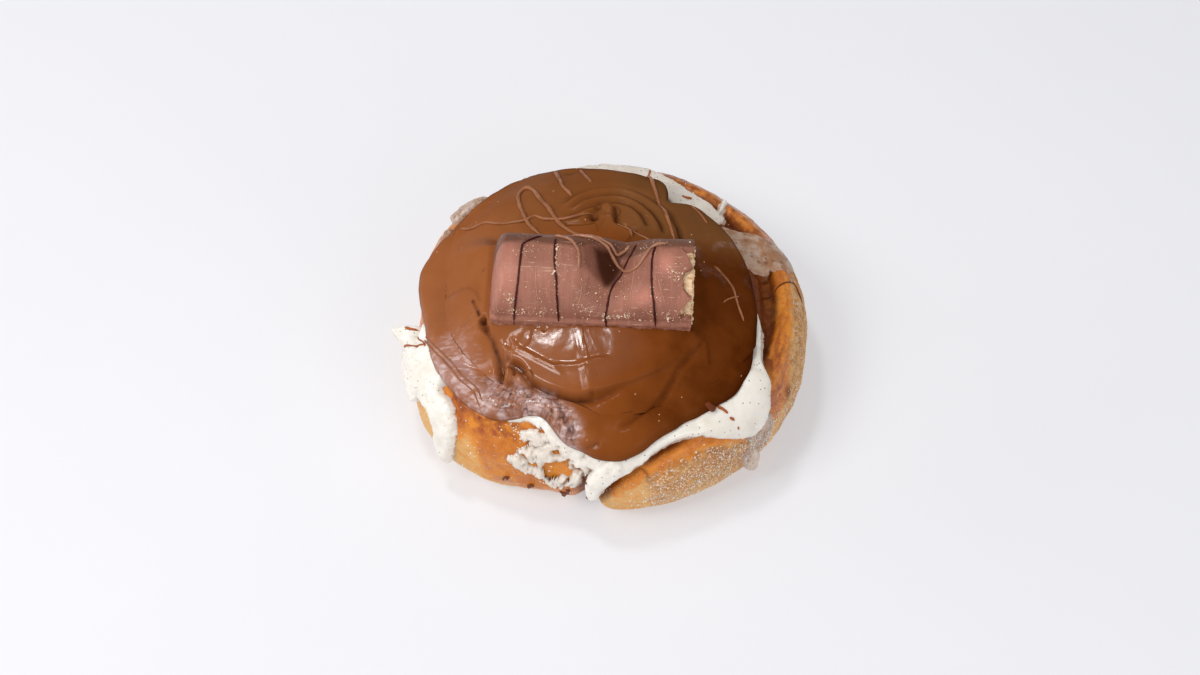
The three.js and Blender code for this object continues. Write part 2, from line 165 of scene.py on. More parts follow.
@dataclass(frozen=True)
class Stroke:
    """Smooth line through a few points of the rolled-out surface.

    Each point is (u, v) or (u, v, half width).
    """

    points: Line

    def smooth(self, step: float = 0.8) -> Array:
        """Points along the line, about one step apart."""
        knots = np.array(self.points, float)
        knots = np.vstack([2 * knots[:1] - knots[1:2], knots, 2 * knots[-1:] - knots[-2:-1]])
        out = [knots[1:2]]
        for a, b, c, d in zip(knots[:-3], knots[1:-2], knots[2:-1], knots[3:]):
            count = max(1, int(np.linalg.norm((c - b)[:2]) / step))
            t = (np.arange(1, count + 1) / count)[:, None]
            out.append(0.5 * (2 * b + (c - a) * t + (2 * a - 5 * b + 4 * c - d) * t**2
                              + (3 * b - a - 3 * c + d) * t**3))
        return np.vstack(out)

    def measure(self, u: Array, v: Array) -> tuple[Array, Array, Array, Array]:
        """Where points lie against the line.

        Args:
            u: first coordinate of the points.
            v: second coordinate of the points.

        Returns:
            Distance to the line, share of the way along it, side (positive on the left of
            travel) and the half width there (0 where none is given).
        """
        line = self.smooth(1.2)
        best = np.full(u.shape, 1e9)
        share = np.zeros(u.shape)
        side = np.zeros(u.shape)
        wide = np.zeros(u.shape)
        total = len(line) - 1
        for i in range(total):
            a, b = line[i], line[i + 1]
            along = b[:2] - a[:2]
            span = max(float(along @ along), 1e-9)
            t = np.clip(((u - a[0]) * along[0] + (v - a[1]) * along[1]) / span, 0, 1)
            du = u - a[0] - t * along[0]
            dv = v - a[1] - t * along[1]
            dist = np.hypot(du, dv)
            near = dist < best
            best = np.where(near, dist, best)
            share = np.where(near, (i + t) / total, share)
            side = np.where(near, np.sign(along[0] * dv - along[1] * du), side)
            if len(a) > 2:
                wide = np.where(near, a[2] + (b[2] - a[2]) * t, wide)
        return best, share, side, wide

    def inward(self, u: Array, v: Array) -> Array:
        """Distance inside the stroke's half width."""
        dist, _, _, wide = self.measure(u, v)
        return wide - dist


@dataclass(frozen=True)
class RollForm:
    """Smooth outer skin of the baked roll, which everything else lies on."""

    mean_radius: float = 52.4
    rim_height: float = 31.0
    crown_height: float = 39.0
    crown_spread: float = 43.0
    edge_inset: float = 10.0
    edge_arc: float = 19.0
    edge_power: float = 0.9
    lobes: Line = (
        (320, 75, 2), (216, 22, 4.3), (184, 19, -1.4), (45, 24, -1.6), (100, 38, -1.6), (275, 22, 1.2),
        (150, 14, 1.2), (256, 13, -3.6),
    )
    back_sag: Point = (90, 65, 2.0)

    def radius(self, deg: Array) -> Array:
        """Outer radius of the roll in a direction."""
        return lobed(self.mean_radius, self.lobes, deg)

    def end(self, deg: Array) -> Array:
        """Distance walked from the crown to where the skin meets the table."""
        return self.radius(deg) - self.edge_inset + 2 * self.edge_arc

    def skin(self, deg: Array, s: Array) -> Array:
        """Points of the skin.

        Args:
            deg: direction, in degrees.
            s: distance walked from the crown, over the edge and down the side.

        Returns:
            Points, with x, y and z on the last axis.
        """
        deg, s = np.broadcast_arrays(np.asarray(deg, float), np.asarray(s, float))
        shoulder = self.radius(deg) - self.edge_inset
        rim = self.rim_height - self.back_sag[2] * facing(deg, *self.back_sag[:2])
        flat = np.minimum(s, shoulder)
        z = rim + (self.crown_height - rim) * np.clip(1 - (flat / self.crown_spread) ** 2, 0, None)
        swing = np.radians(90) * np.clip(1 - (s - shoulder) / self.edge_arc, -1, 1)
        over = s > shoulder
        round_r = shoulder + self.edge_inset * np.abs(np.cos(swing)) ** self.edge_power
        round_z = z / 2 + z / 2 * np.sign(swing) * np.abs(np.sin(swing)) ** self.edge_power
        r = np.where(over, round_r, s)
        z = np.where(over, round_z, z)
        return np.stack([*unrolled(deg, r), z], axis=-1)

    def normal(self, deg: Array, s: Array) -> Array:
        """Outward normals of the skin."""
        at = np.minimum(np.maximum(s, 1.0), self.end(deg) - 0.4)
        along = self.skin(deg, at + 0.3) - self.skin(deg, at - 0.3)
        around = self.skin(deg + 0.4, at) - self.skin(deg - 0.4, at)
        return unit(np.cross(along, around))

    def above(self, u: Array, v: Array, height: Array) -> Array:
        """Points at a height above the skin, placed on the rolled-out surface."""
        deg, s = polar(u, v)
        return self.skin(deg, s) + self.normal(deg, s) * np.asarray(height)[..., None]


# Meshes


def linked(name: str, data: bpy.types.ID) -> Piece:
    """New object in the scene."""
    piece = bpy.data.objects.new(name, data)
    bpy.context.scene.collection.objects.link(piece)
    return piece


def new_mesh(name: str, points: Array, faces: Iterable[Sequence[int]],
             masks: dict[str, Array] | None = None) -> Piece:
    """Make an object from points in millimetres.

    Args:
        name: name of the piece.
        points: one row per vertex.
        faces: vertex numbers of each face.
        masks: named values per vertex, for the materials.

    Returns:
        The new object, linked to the scene.
    """
    mesh = bpy.data.meshes.new(name)
    rows = faces.tolist() if isinstance(faces, np.ndarray) else list(faces)
    mesh.from_pydata((np.asarray(points) * MM).tolist(), [], rows)
    for mask, values in (masks or {}).items():
        layer = mesh.attributes.new(mask, "FLOAT", "POINT")
        layer.data.foreach_set("value", np.asarray(values, np.float32).ravel())
    mesh.polygons.foreach_set("use_smooth", [True] * len(mesh.polygons))
    mesh.update()
    return linked(name, mesh)


def grid_faces(rows: int, columns: int, closed: bool = True) -> Array:
    """Quads of a grid of vertices stored row by row.

    Args:
        rows: number of rows of vertices.
        columns: number of vertices in a row.
        closed: whether the last column joins the first.

    Returns:
        One row of four vertex numbers per quad, wound for rows that run outward
        from the middle and columns that run counter-clockwise.
    """
    j, i = np.meshgrid(np.arange(rows - 1), np.arange(columns if closed else columns - 1), indexing="ij")
    nxt = (i + 1) % columns
    quads = np.stack([j * columns + i, (j + 1) * columns + i, (j + 1) * columns + nxt, j * columns + nxt], -1)
    return quads.reshape(-1, 4)


def closed_grid(rows: Sequence[Array], flip: bool = False, open_end: bool = False) -> Mesh:
    """Skin from rings of points, with a fan over the first and the last ring.

    Args:
        rows: rings from the middle of one side outward and round to the other side.
        flip: whether to turn every face over.
        open_end: whether the last ring stays open.

    Returns:
        Points and faces. The two middles are the last two points.
    """
    columns = len(rows[0])
    points = np.vstack([*rows, rows[0].mean(0, keepdims=True), rows[-1].mean(0, keepdims=True)])
    faces = grid_faces(len(rows), columns).tolist()
    first, last, start = len(points) - 2, len(points) - 1, (len(rows) - 1) * columns
    for i in range(columns):
        faces.append([first, i, (i + 1) % columns])
        if not open_end:
            faces.append([last, start + (i + 1) % columns, start + i])
    if open_end:
        points = points[:-1]
    return points, [face[::-1] for face in faces] if flip else faces


def drop_unused(points: Array, faces: Array, masks: dict[str, Array]) -> tuple[Array, Array, dict[str, Array]]:
    """Leave out the vertices that no face uses."""
    used = np.unique(faces)
    place = np.full(len(points), -1)
    place[used] = np.arange(len(used))
    return points[used], place[faces], {name: values[used] for name, values in masks.items()}


def evened(path: Array, times: int) -> Array:
    """Path with its kinks smoothed out between fixed ends."""
    path = path.copy()
    for _ in range(times):
        path[1:-1] = (path[:-2] + 2 * path[1:-1] + path[2:]) / 4
    return path


def taper(count: int, low: float, reach: float) -> Array:
    """Share of the full radius along a strand that thins towards both ends."""
    share = np.linspace(0, 1, count)
    return low + (1 - low) * np.minimum(ease(0, reach, share), ease(1, 1 - reach, share))


def tubes(strands: Iterable[tuple[Array, Array]], sides: int) -> Mesh:
    """Closed round strands.

    Args:
        strands: points along the middle of each, and the radius at each point.
        sides: number of sides.

    Returns:
        Points and faces.
    """
    points, faces, start = [], [], 0
    angle = np.linspace(0, 2 * np.pi, sides, endpoint=False)[:, None]
    fan = np.array([[0, k, k + 1] for k in range(1, sides - 1)])
    for path, radii in strands:
        ahead = unit(np.gradient(path, axis=0))
        side = unit(np.cross(ahead, [0.02, 0.01, 1.0]))
        ring = side[:, None] * np.cos(angle) + np.cross(side, ahead)[:, None] * np.sin(angle)
        skin = path[:, None] + ring * radii[:, None, None]
        for end in (0, -1):
            skin[end] = path[end] + (skin[end] - path[end]) * 0.3
        points.append(skin.reshape(-1, 3))
        for part in (grid_faces(len(path), sides)[:, ::-1], fan, len(path) * sides - 1 - fan):
            faces += (part + start).tolist()
        start += len(path) * sides
    return np.vstack(points), faces


class Lump:
    """Small rough grain, the pattern of every crumb and sugar grain."""

    def __init__(self) -> None:
        """Work out the corners of a cut ball once."""
        gold = (1 + 5**0.5) / 2
        raw = [(-1, gold, 0), (1, gold, 0), (-1, -gold, 0), (1, -gold, 0), (0, -1, gold), (0, 1, gold),
               (0, -1, -gold), (0, 1, -gold), (gold, 0, -1), (gold, 0, 1), (-gold, 0, -1), (-gold, 0, 1)]
        self.corners = np.array(raw, float) / math.hypot(1, gold)
        self.faces = np.array([
            (0, 11, 5), (0, 5, 1), (0, 1, 7), (0, 7, 10), (0, 10, 11), (1, 5, 9), (5, 11, 4), (11, 10, 2),
            (10, 7, 6), (7, 1, 8), (3, 9, 4), (3, 4, 2), (3, 2, 6), (3, 6, 8), (3, 8, 9), (4, 9, 5),
            (2, 4, 11), (6, 2, 10), (8, 6, 7), (9, 8, 1)])

    def heap(self, places: Array, sizes: Array, rng: np.random.Generator, flat: float = 0.8,
             rough: float = 0.25) -> tuple[Array, Array]:
        """Many grains, each turned and misshapen at random.

        Args:
            places: middle of each grain.
            sizes: radius of each grain.
            rng: source of the randomness.
            flat: thickness against width.
            rough: how far corners stray, as a share of the radius.

        Returns:
            Points and triangles of all the grains.
        """
        count = len(places)
        turn, _ = np.linalg.qr(rng.normal(size=(count, 3, 3)))
        shape = self.corners[None] * (1 + rough * rng.normal(size=(count, 12, 1)))
        shape = shape * np.stack([np.ones(count), rng.uniform(0.6, 1, count), np.full(count, flat)], -1)[:, None]
        points = np.einsum("nij,nkj->nki", turn, shape) * sizes[:, None, None] + places[:, None]
        faces = self.faces[None] + 12 * np.arange(count)[:, None, None]
        return points.reshape(-1, 3), faces.reshape(-1, 3)


# The roll's own pieces


@dataclass(frozen=True)
class BarForm:
    """Shape and place of the bar piece: two humps, cut through the second one."""

    length: float = 52.5
    foot: float = 11.9
    body: float = 11.1
    flange: float = 3.0
    peak: float = 14.8
    valley: float = 8.5
    valley_at: float = 31.0
    valley_half: float = 8.5
    valley_slant: float = 4.0
    bevel: Point = (0.8, 2.6)
    arch_power: float = 0.75
    end_rounding: float = 2.4
    end_drop: float = 3.2
    end_pull: float = 1.6
    arch_foot: float = 3.5
    middle: Point = (-4.2, -10.4, 44.2)
    yaw: float = -2.6
    roll: float = 6.0
    coat: float = 1.2
    seat_rise: float = 0.8
    seat_slope: float = 0.85

    def turn(self) -> Array:
        """Rotation from the bar's own directions to the roll's."""
        a, b = math.radians(self.yaw), math.radians(self.roll)
        yaw = np.array([[math.cos(a), -math.sin(a), 0], [math.sin(a), math.cos(a), 0], [0, 0, 1]])
        roll = np.array([[1, 0, 0], [0, math.cos(b), -math.sin(b)], [0, math.sin(b), math.cos(b)]])
        return yaw @ roll

    def place(self, points: Array) -> Array:
        """Move points from the bar's own frame onto the roll."""
        near = np.clip(1 - points[..., 0] / 9, 0, 1)
        lean = near * (self.bevel[0] + self.bevel[1] * np.clip(points[..., 2] / self.peak, 0, 1) ** 1.5)
        points = points + lean[..., None] * np.array([1.0, 0, 0])
        return (points - [self.length / 2, 0, 0]) @ self.turn().T + np.array(self.middle)

    def local(self, points: Array) -> Array:
        """Move points of the roll into the bar's own frame."""
        return (points - np.array(self.middle)) @ self.turn() + [self.length / 2, 0, 0]

    def height(self, x: Array, angle: Array | float = 90.0) -> Array:
        """Height of the humps along the bar; the valley slants and fades towards the back."""
        middle = self.valley_at + self.valley_slant * ease(60, 125, angle)
        dip = np.clip(1 - np.abs(x - middle) / self.valley_half, 0, 1) * (1 - 0.4 * ease(95, 140, angle))
        return self.peak - (self.peak - self.valley) * (dip * dip * (3 - 2 * dip) * 0.5 + dip * 0.5)

    def end_ease(self, x: Array, inset: float = 0.0) -> Array:
        """How far the rounded end has pulled the section in, 0 to 1."""
        start = np.clip((self.end_rounding + inset - x) / self.end_rounding, 0, 1)
        return 1 - np.sqrt(1 - start**2)

    def arch(self, deg: Array, half: Array | float, base: float, top: Array) -> Array:
        """Points (y, z) of an arch over a base: 0 at its front foot, 90 on top, 180 at the back foot."""
        cos, sin = np.cos(np.radians(deg)), np.sin(np.radians(deg))
        y = -half * np.sign(cos) * np.abs(cos) ** self.arch_power
        return np.stack([y, base + (top - base) * np.abs(sin) ** self.arch_power], -1)

    def on_arch(self, x: Array, angle: Array, lift: float | Array = 0.0) -> Array:
        """Points on the arch, in the bar's own frame.

        Args:
            x: distance along the bar.
            angle: arch angle in degrees.
            lift: height above the surface.

        Returns:
            Points, with x, y and z on the last axis.
        """
        x, deg = np.broadcast_arrays(np.asarray(x, float), np.asarray(angle, float))
        pulled = self.end_ease(x)
        top = self.height(x, deg) - self.end_drop * pulled + lift
        flat = self.arch(deg, self.body - self.end_pull * pulled + lift, self.arch_foot, top)
        return np.concatenate([x[..., None], flat], -1)

    def section(self, x: float, inset: float, count: int) -> Array:
        """Closed cross-section at x with softly rounded corners.

        Args:
            x: distance along the bar.
            inset: how far the outline is shrunk.
            count: number of points.

        Returns:
            y and z of each point, from the middle of the underside over the back to the front.
        """
        pulled = float(self.end_ease(np.array(x), inset))
        foot = self.foot - inset - 0.8 * pulled
        degrees = np.linspace(180, 0, 90)
        top = self.height(np.full(90, x), degrees) - inset - self.end_drop * pulled
        arch = self.arch(degrees, self.body - inset - self.end_pull * pulled, self.arch_foot - 0.5 * inset, top)
        rim = self.flange - 0.6 * inset
        key = np.vstack([[[0, inset], [foot, inset], [foot, rim]], arch, [[-foot, rim], [-foot, inset]]])
        loop = np.vstack([key, key[:1]])
        walked = np.concatenate([[0], np.cumsum(np.linalg.norm(np.diff(loop, axis=0), axis=1))])
        fine, reach = 640, 4
        at = np.arange(fine) / fine * walked[-1]
        even = np.stack([np.interp(at, walked, loop[:, k]) for k in range(2)], -1)
        soft = sum(np.roll(even, k, axis=0) for k in range(-reach, reach + 1)) / (2 * reach + 1)
        return soft[(np.arange(count) * fine) // count]


@dataclass(frozen=True)
class Fold:
    """One fold of a soft surface, with its inner side on the left of the line."""

    line: Line
    swell: float
    fall: float
    crease: float
    width: float = 0.8
    shoulder: float = 9.0
    # how much painted shade the crease gets
    crease_shade: float = 0.0
    tail: float = 0.84

    def relief(self, u: Array, v: Array) -> tuple[Array, Array]:
        """Height of the fold, and the painted shade that its crease gets at each place."""
        dist, share, side, _ = Stroke(self.line).measure(u, v)
        off = dist * side
        fade = ease(0, 0.08, share) * ease(1, self.tail, share)
        inner = self.swell * ease(-0.3, 1.5, off) * np.exp(-np.clip(off, 0, None) / self.shoulder)
        outer = -self.fall * ease(0.3, -1.2, off) * np.exp(-np.clip(-off, 0, None) / 2.5)
        height = fade * (inner + outer - self.crease * hump(off + 0.35, self.width))
        return height, self.crease_shade * fade * hump(off + 0.3, 0.62 * self.width)


@dataclass
class Dough:
    """The baked bun: its lumps, the open seam of the strip and the strip's outer end."""

    form: RollForm
    strip_end: float = 264.0
    seam_inner: float = 41.0
    seam_run: Point = (18.0, 45.0)
    seam_drop: Point = (21.0, 4.0)
    seam_depth: float = 3.4
    seam_width: float = 2.2
    end_depth: float = 4.2
    end_turn: float = 3.2
    columns: int = 640
    lump: float = 0.55
    crust: Line = (
        (0, 49.4), (20, 50.6), (45, 50), (60, 52), (100, 54), (140, 57), (175, 56), (205, 55), (218, 57), (225, 59.6),
        (229, 57.4), (232, 60), (234, 65), (238, 70), (262, 70), (268, 65), (278, 61.2), (288, 57), (299, 56.2),
        (305, 58.6), (314, 61.5), (325, 62), (331, 60), (337, 55.4), (345, 51.8), (355, 49.6),
    )
    syrup: Line = (
        (312, 57), (320, 55.4), (327, 52.9), (332, 49.4), (338, 46), (346, 43.4), (355, 41.8), (367, 40.4),
        (387, 39.4), (399, 39.2), (420, 40),
    )
    rips: tuple[Fold, ...] = (
        Fold(((-1.6, -63), (4.1, -59.3), (7.1, -57.6), (8.9, -56.3), (11.2, -57.4), (12.7, -59.6)),
            0.9, 0.1, 1, 0.7, 4, 0.8, 0.8),
    )
    noise: Noise = Noise(11)

    def lumps(self, points: Array) -> Array:
        """Broad unevenness of the baked surface."""
        return self.lump * self.noise(points, 17, 2, 0.35)

    def along(self, deg: Array) -> Array:
        """Turn from the strip's outer end, 0 to 360 degrees."""
        return (deg - self.strip_end + 720) % 360

    def seam(self, deg: Array, s: Array) -> Array:
        """Depth of the open seam, in a direction and at a distance walked from the crown."""
        run, drop = (size * np.exp(-self.along(deg) / fade) for size, fade in (self.seam_run, self.seam_drop))
        slope = (run / self.seam_run[1] + drop / self.seam_drop[1]) / (math.radians(1) * np.maximum(s, 10))
        off = (s - (self.seam_inner + run + drop)) / np.hypot(1, slope)
        end = self.end_depth * facing(deg, self.strip_end, self.end_turn) * ease(52, 60, s)
        return np.maximum(self.seam_depth * hump(off, self.seam_width), end)

    def relief(self, deg: Array, s: Array, bare: Array) -> Array:
        """Height of the baked surface against the smooth skin.

        Args:
            deg: direction.
            s: distance walked from the crown.
            bare: 0 where a layer covers the dough, 1 where it is bare.

        Returns:
            Height in mm, mostly negative in the seam.
        """
        points = self.form.skin(deg, s)
        fine = 0.16 * self.noise(points, 4.2, 3, 0.55)
        fine = fine + 0.22 * self.noise(points * [0.35, 0.35, 1.6], 5.5, 2) * ease(46, 56, s)
        fine = fine - 1.3 * facing(deg, 177, 10) * ease(48, 54, s)
        torn = sum(rip.relief(*unrolled(deg, s))[0] for rip in self.rips)
        return self.lumps(points) + (torn - self.seam(deg, s)) * bare + fine * ease(0, 0.4, s / 50)

    def build(self, covered: Callable[[Array, Array], Array]) -> Piece:
        """Make the dough.

        Args:
            covered: gives how bare the dough is at places of the rolled-out surface.

        Returns:
            The dough piece.
        """
        deg = np.linspace(0, 360, self.columns, endpoint=False)
        deg = deg - 12.5 * np.sin(np.radians(deg - self.strip_end))
        edge, end = 58, 80.4  # nominal distances walked to the side and to the table
        pitch = 11.5  # of the spiral underneath
        rows, colours = [], {"bake": [], "stain_and_shade": [], "red": [], "dust": []}
        for stop in np.concatenate([np.linspace(0.5, 34, 8)[:-1], np.linspace(34, end, 118)]):
            share = max(0.0, stop - edge) / (end - edge)
            s = min(stop, edge) + share * (self.form.end(deg) - edge)
            bare = covered(*unrolled(deg, s))
            height = self.relief(deg, s, bare) * ease(end, 77, stop)
            points = self.form.skin(deg, s) + self.form.normal(deg, s) * height[:, None]
            points[:, 2] = np.maximum(points[:, 2], 0)
            rows.append(points)
            for mask, values in self.masks(deg, s, points, bare).items():
                colours[mask].append(values)
        last = rows[-1]
        last[:, 2] = 0
        for share in np.linspace(1, 0.02, 34)[1:]:
            ring = last * share
            r = np.hypot(ring[:, 0], ring[:, 1])
            off = (r + pitch * self.along(deg) / 360) % pitch - pitch / 2
            ring[:, 2] = 0.55 * hump(off, 0.9) * ease(0, 3, r) * ease(1, 0.96, share)
            rows.append(ring)
            colours["bake"].append(0.55 + 0.2 * self.noise(ring, 12, 3) + 0.25 * share)
            colours["stain_and_shade"].append(0.5 * hump(off, 1.4))
            for name in ("dust", "red"):
                colours[name].append(np.zeros(len(deg)))
        points, faces = closed_grid(rows)
        masks = {name: np.concatenate([*values, values[0][:1], values[-1][:1]]) for name, values in colours.items()}
        return new_mesh("dough", points, faces, masks)

    def masks(self, deg: Array, s: Array, points: Array, bare: Array) -> dict[str, Array]:
        """Where the dough is browned, stained, darker in the seam by its depth, given painted shade in a crack,
        glazed red or dusted.
        """
        wander = self.noise(points + 40, 9, 3)
        grit = self.noise(points + 90, 2.2, 2)
        drawn = self.noise(np.stack([s, *unrolled(deg, 10)], -1), 1.7, 3)
        past = s - np.interp(deg % 360, *np.array(self.crust).T, period=360)
        ahead = turn_from(350, deg)
        slant = s + 0.15 * turn_from(228, deg)
        calm = facing(deg, 222, 14)
        below = past + (1.4 * wander + 0.9 * grit) * (1 - 0.6 * calm)
        soft = 1.3 + 4.6 * calm
        charred = ease(12, 30, ahead - 6) * ease(95, 70, ahead) * ease(31, 35, s) * ease(60, 50, s)
        ringed = ease(-30, -22, ahead) * ease(95, 70, ahead) * ease(36, 41, s) * ease(66, 54, s)
        bake = 0.72 * ease(soft, -soft, below) + 0.14 + 0.2 * wander - 0.12 * ease(4, 18, below)
        bake = bake + 0.3 * facing(deg, 28, 30) * ease(58, 50, s) - 0.2 * facing(deg, 346, 14)
        bake = bake + 0.3 * charred + 0.35 * ringed * drawn
        at, vein = np.array(self.syrup).T
        veined = ease(-30, -16, ahead) * ease(74, 60, ahead)
        inset = s - np.interp(ahead, at - 350, vein)
        syrup = veined * (ease(1.2, -0.5, inset + 1.2 * grit + 0.9 * wander)
                          + 0.5 * hump(inset - 2.6, 2.6) * ease(0.15, 0.4, drawn))
        # painted shade in the crack of the torn crust
        crease_shade = np.maximum.reduce([rip.relief(*unrolled(deg, s))[1] * bare for rip in self.rips])
        singed = facing(deg, 229, 15) * hump(slant - 53, 2.2) * ease(0, 0.6, grit)
        stain_and_shade = np.maximum.reduce([
            bare * ease(0.25, 2.4, self.seam(deg, s)) * (0.85 + 0.3 * grit), syrup,
            0.9 * facing(deg, 331.6, 1.7) * hump(s - 59.6, 1.8), 0.75 * crease_shade, 0.5 * singed,
            (0.5 * charred + 0.16 * ringed) * ease(-0.35, 0.5, grit + 0.8 * drawn)])
        freckles = facing(deg, 240, 15) * hump(s - 50.8, 3.4) + facing(deg, 221, 7) * hump(s - 53.4, 1.8)
        rust = facing(deg, 303, 11) * ease(-0.6, 1.2, past) * ease(8, 2, past + 2 * grit)
        blotch = facing(deg, 327.5, 4.4) * hump(s - 57.8, 3.4)
        under = facing(deg, 229, 17) * hump(slant - 53.6, 3.2)
        red = np.maximum.reduce([
            1.2 * freckles * ease(-0.4, 0.15, grit + 0.3 * wander), 1.1 * rust * ease(-0.7, 0.3, grit),
            0.45 * facing(deg, 280, 14) * hump(below + 5, 1.6), 1.7 * under * ease(-0.75, 0.1, grit + 0.4 * wander),
            1.3 * blotch * ease(-0.6, 0.1, grit), 0.35 * hump(inset - 1.4, 2.2) * veined])
        turn = turn_from(297, deg)
        front = ease(-17.6, -14.2, turn + 1.6 * grit - 0.12 * (s - 58)) * ease(24, 15, turn)
        side = ease(-28, -22, ahead) * ease(120, 20, ahead)
        dust = ease(-0.9, 0.9, past + 1.3 * grit) * (0.45 + 0.55 * ease(15, 6, past)) * front
        dust = dust + 0.85 * ease(-1.4, 2.2, past + 1.2 * grit + 1.6 * wander) * side + 0.3 * facing(deg, 140, 50)
        values = {"bake": bake, "stain_and_shade": stain_and_shade, "red": red, "dust": dust * (0.75 + 0.6 * grit)}
        return {name: np.clip(value, 0, 1) for name, value in values.items()}


@dataclass(frozen=True)
class Run:
    """One run of icing: a line with half widths, a thickness and a way of ending."""

    line: Line
    thickness: float
    edge: float = 1.5
    ragged: float = 0.25
    thin: float = 0.0


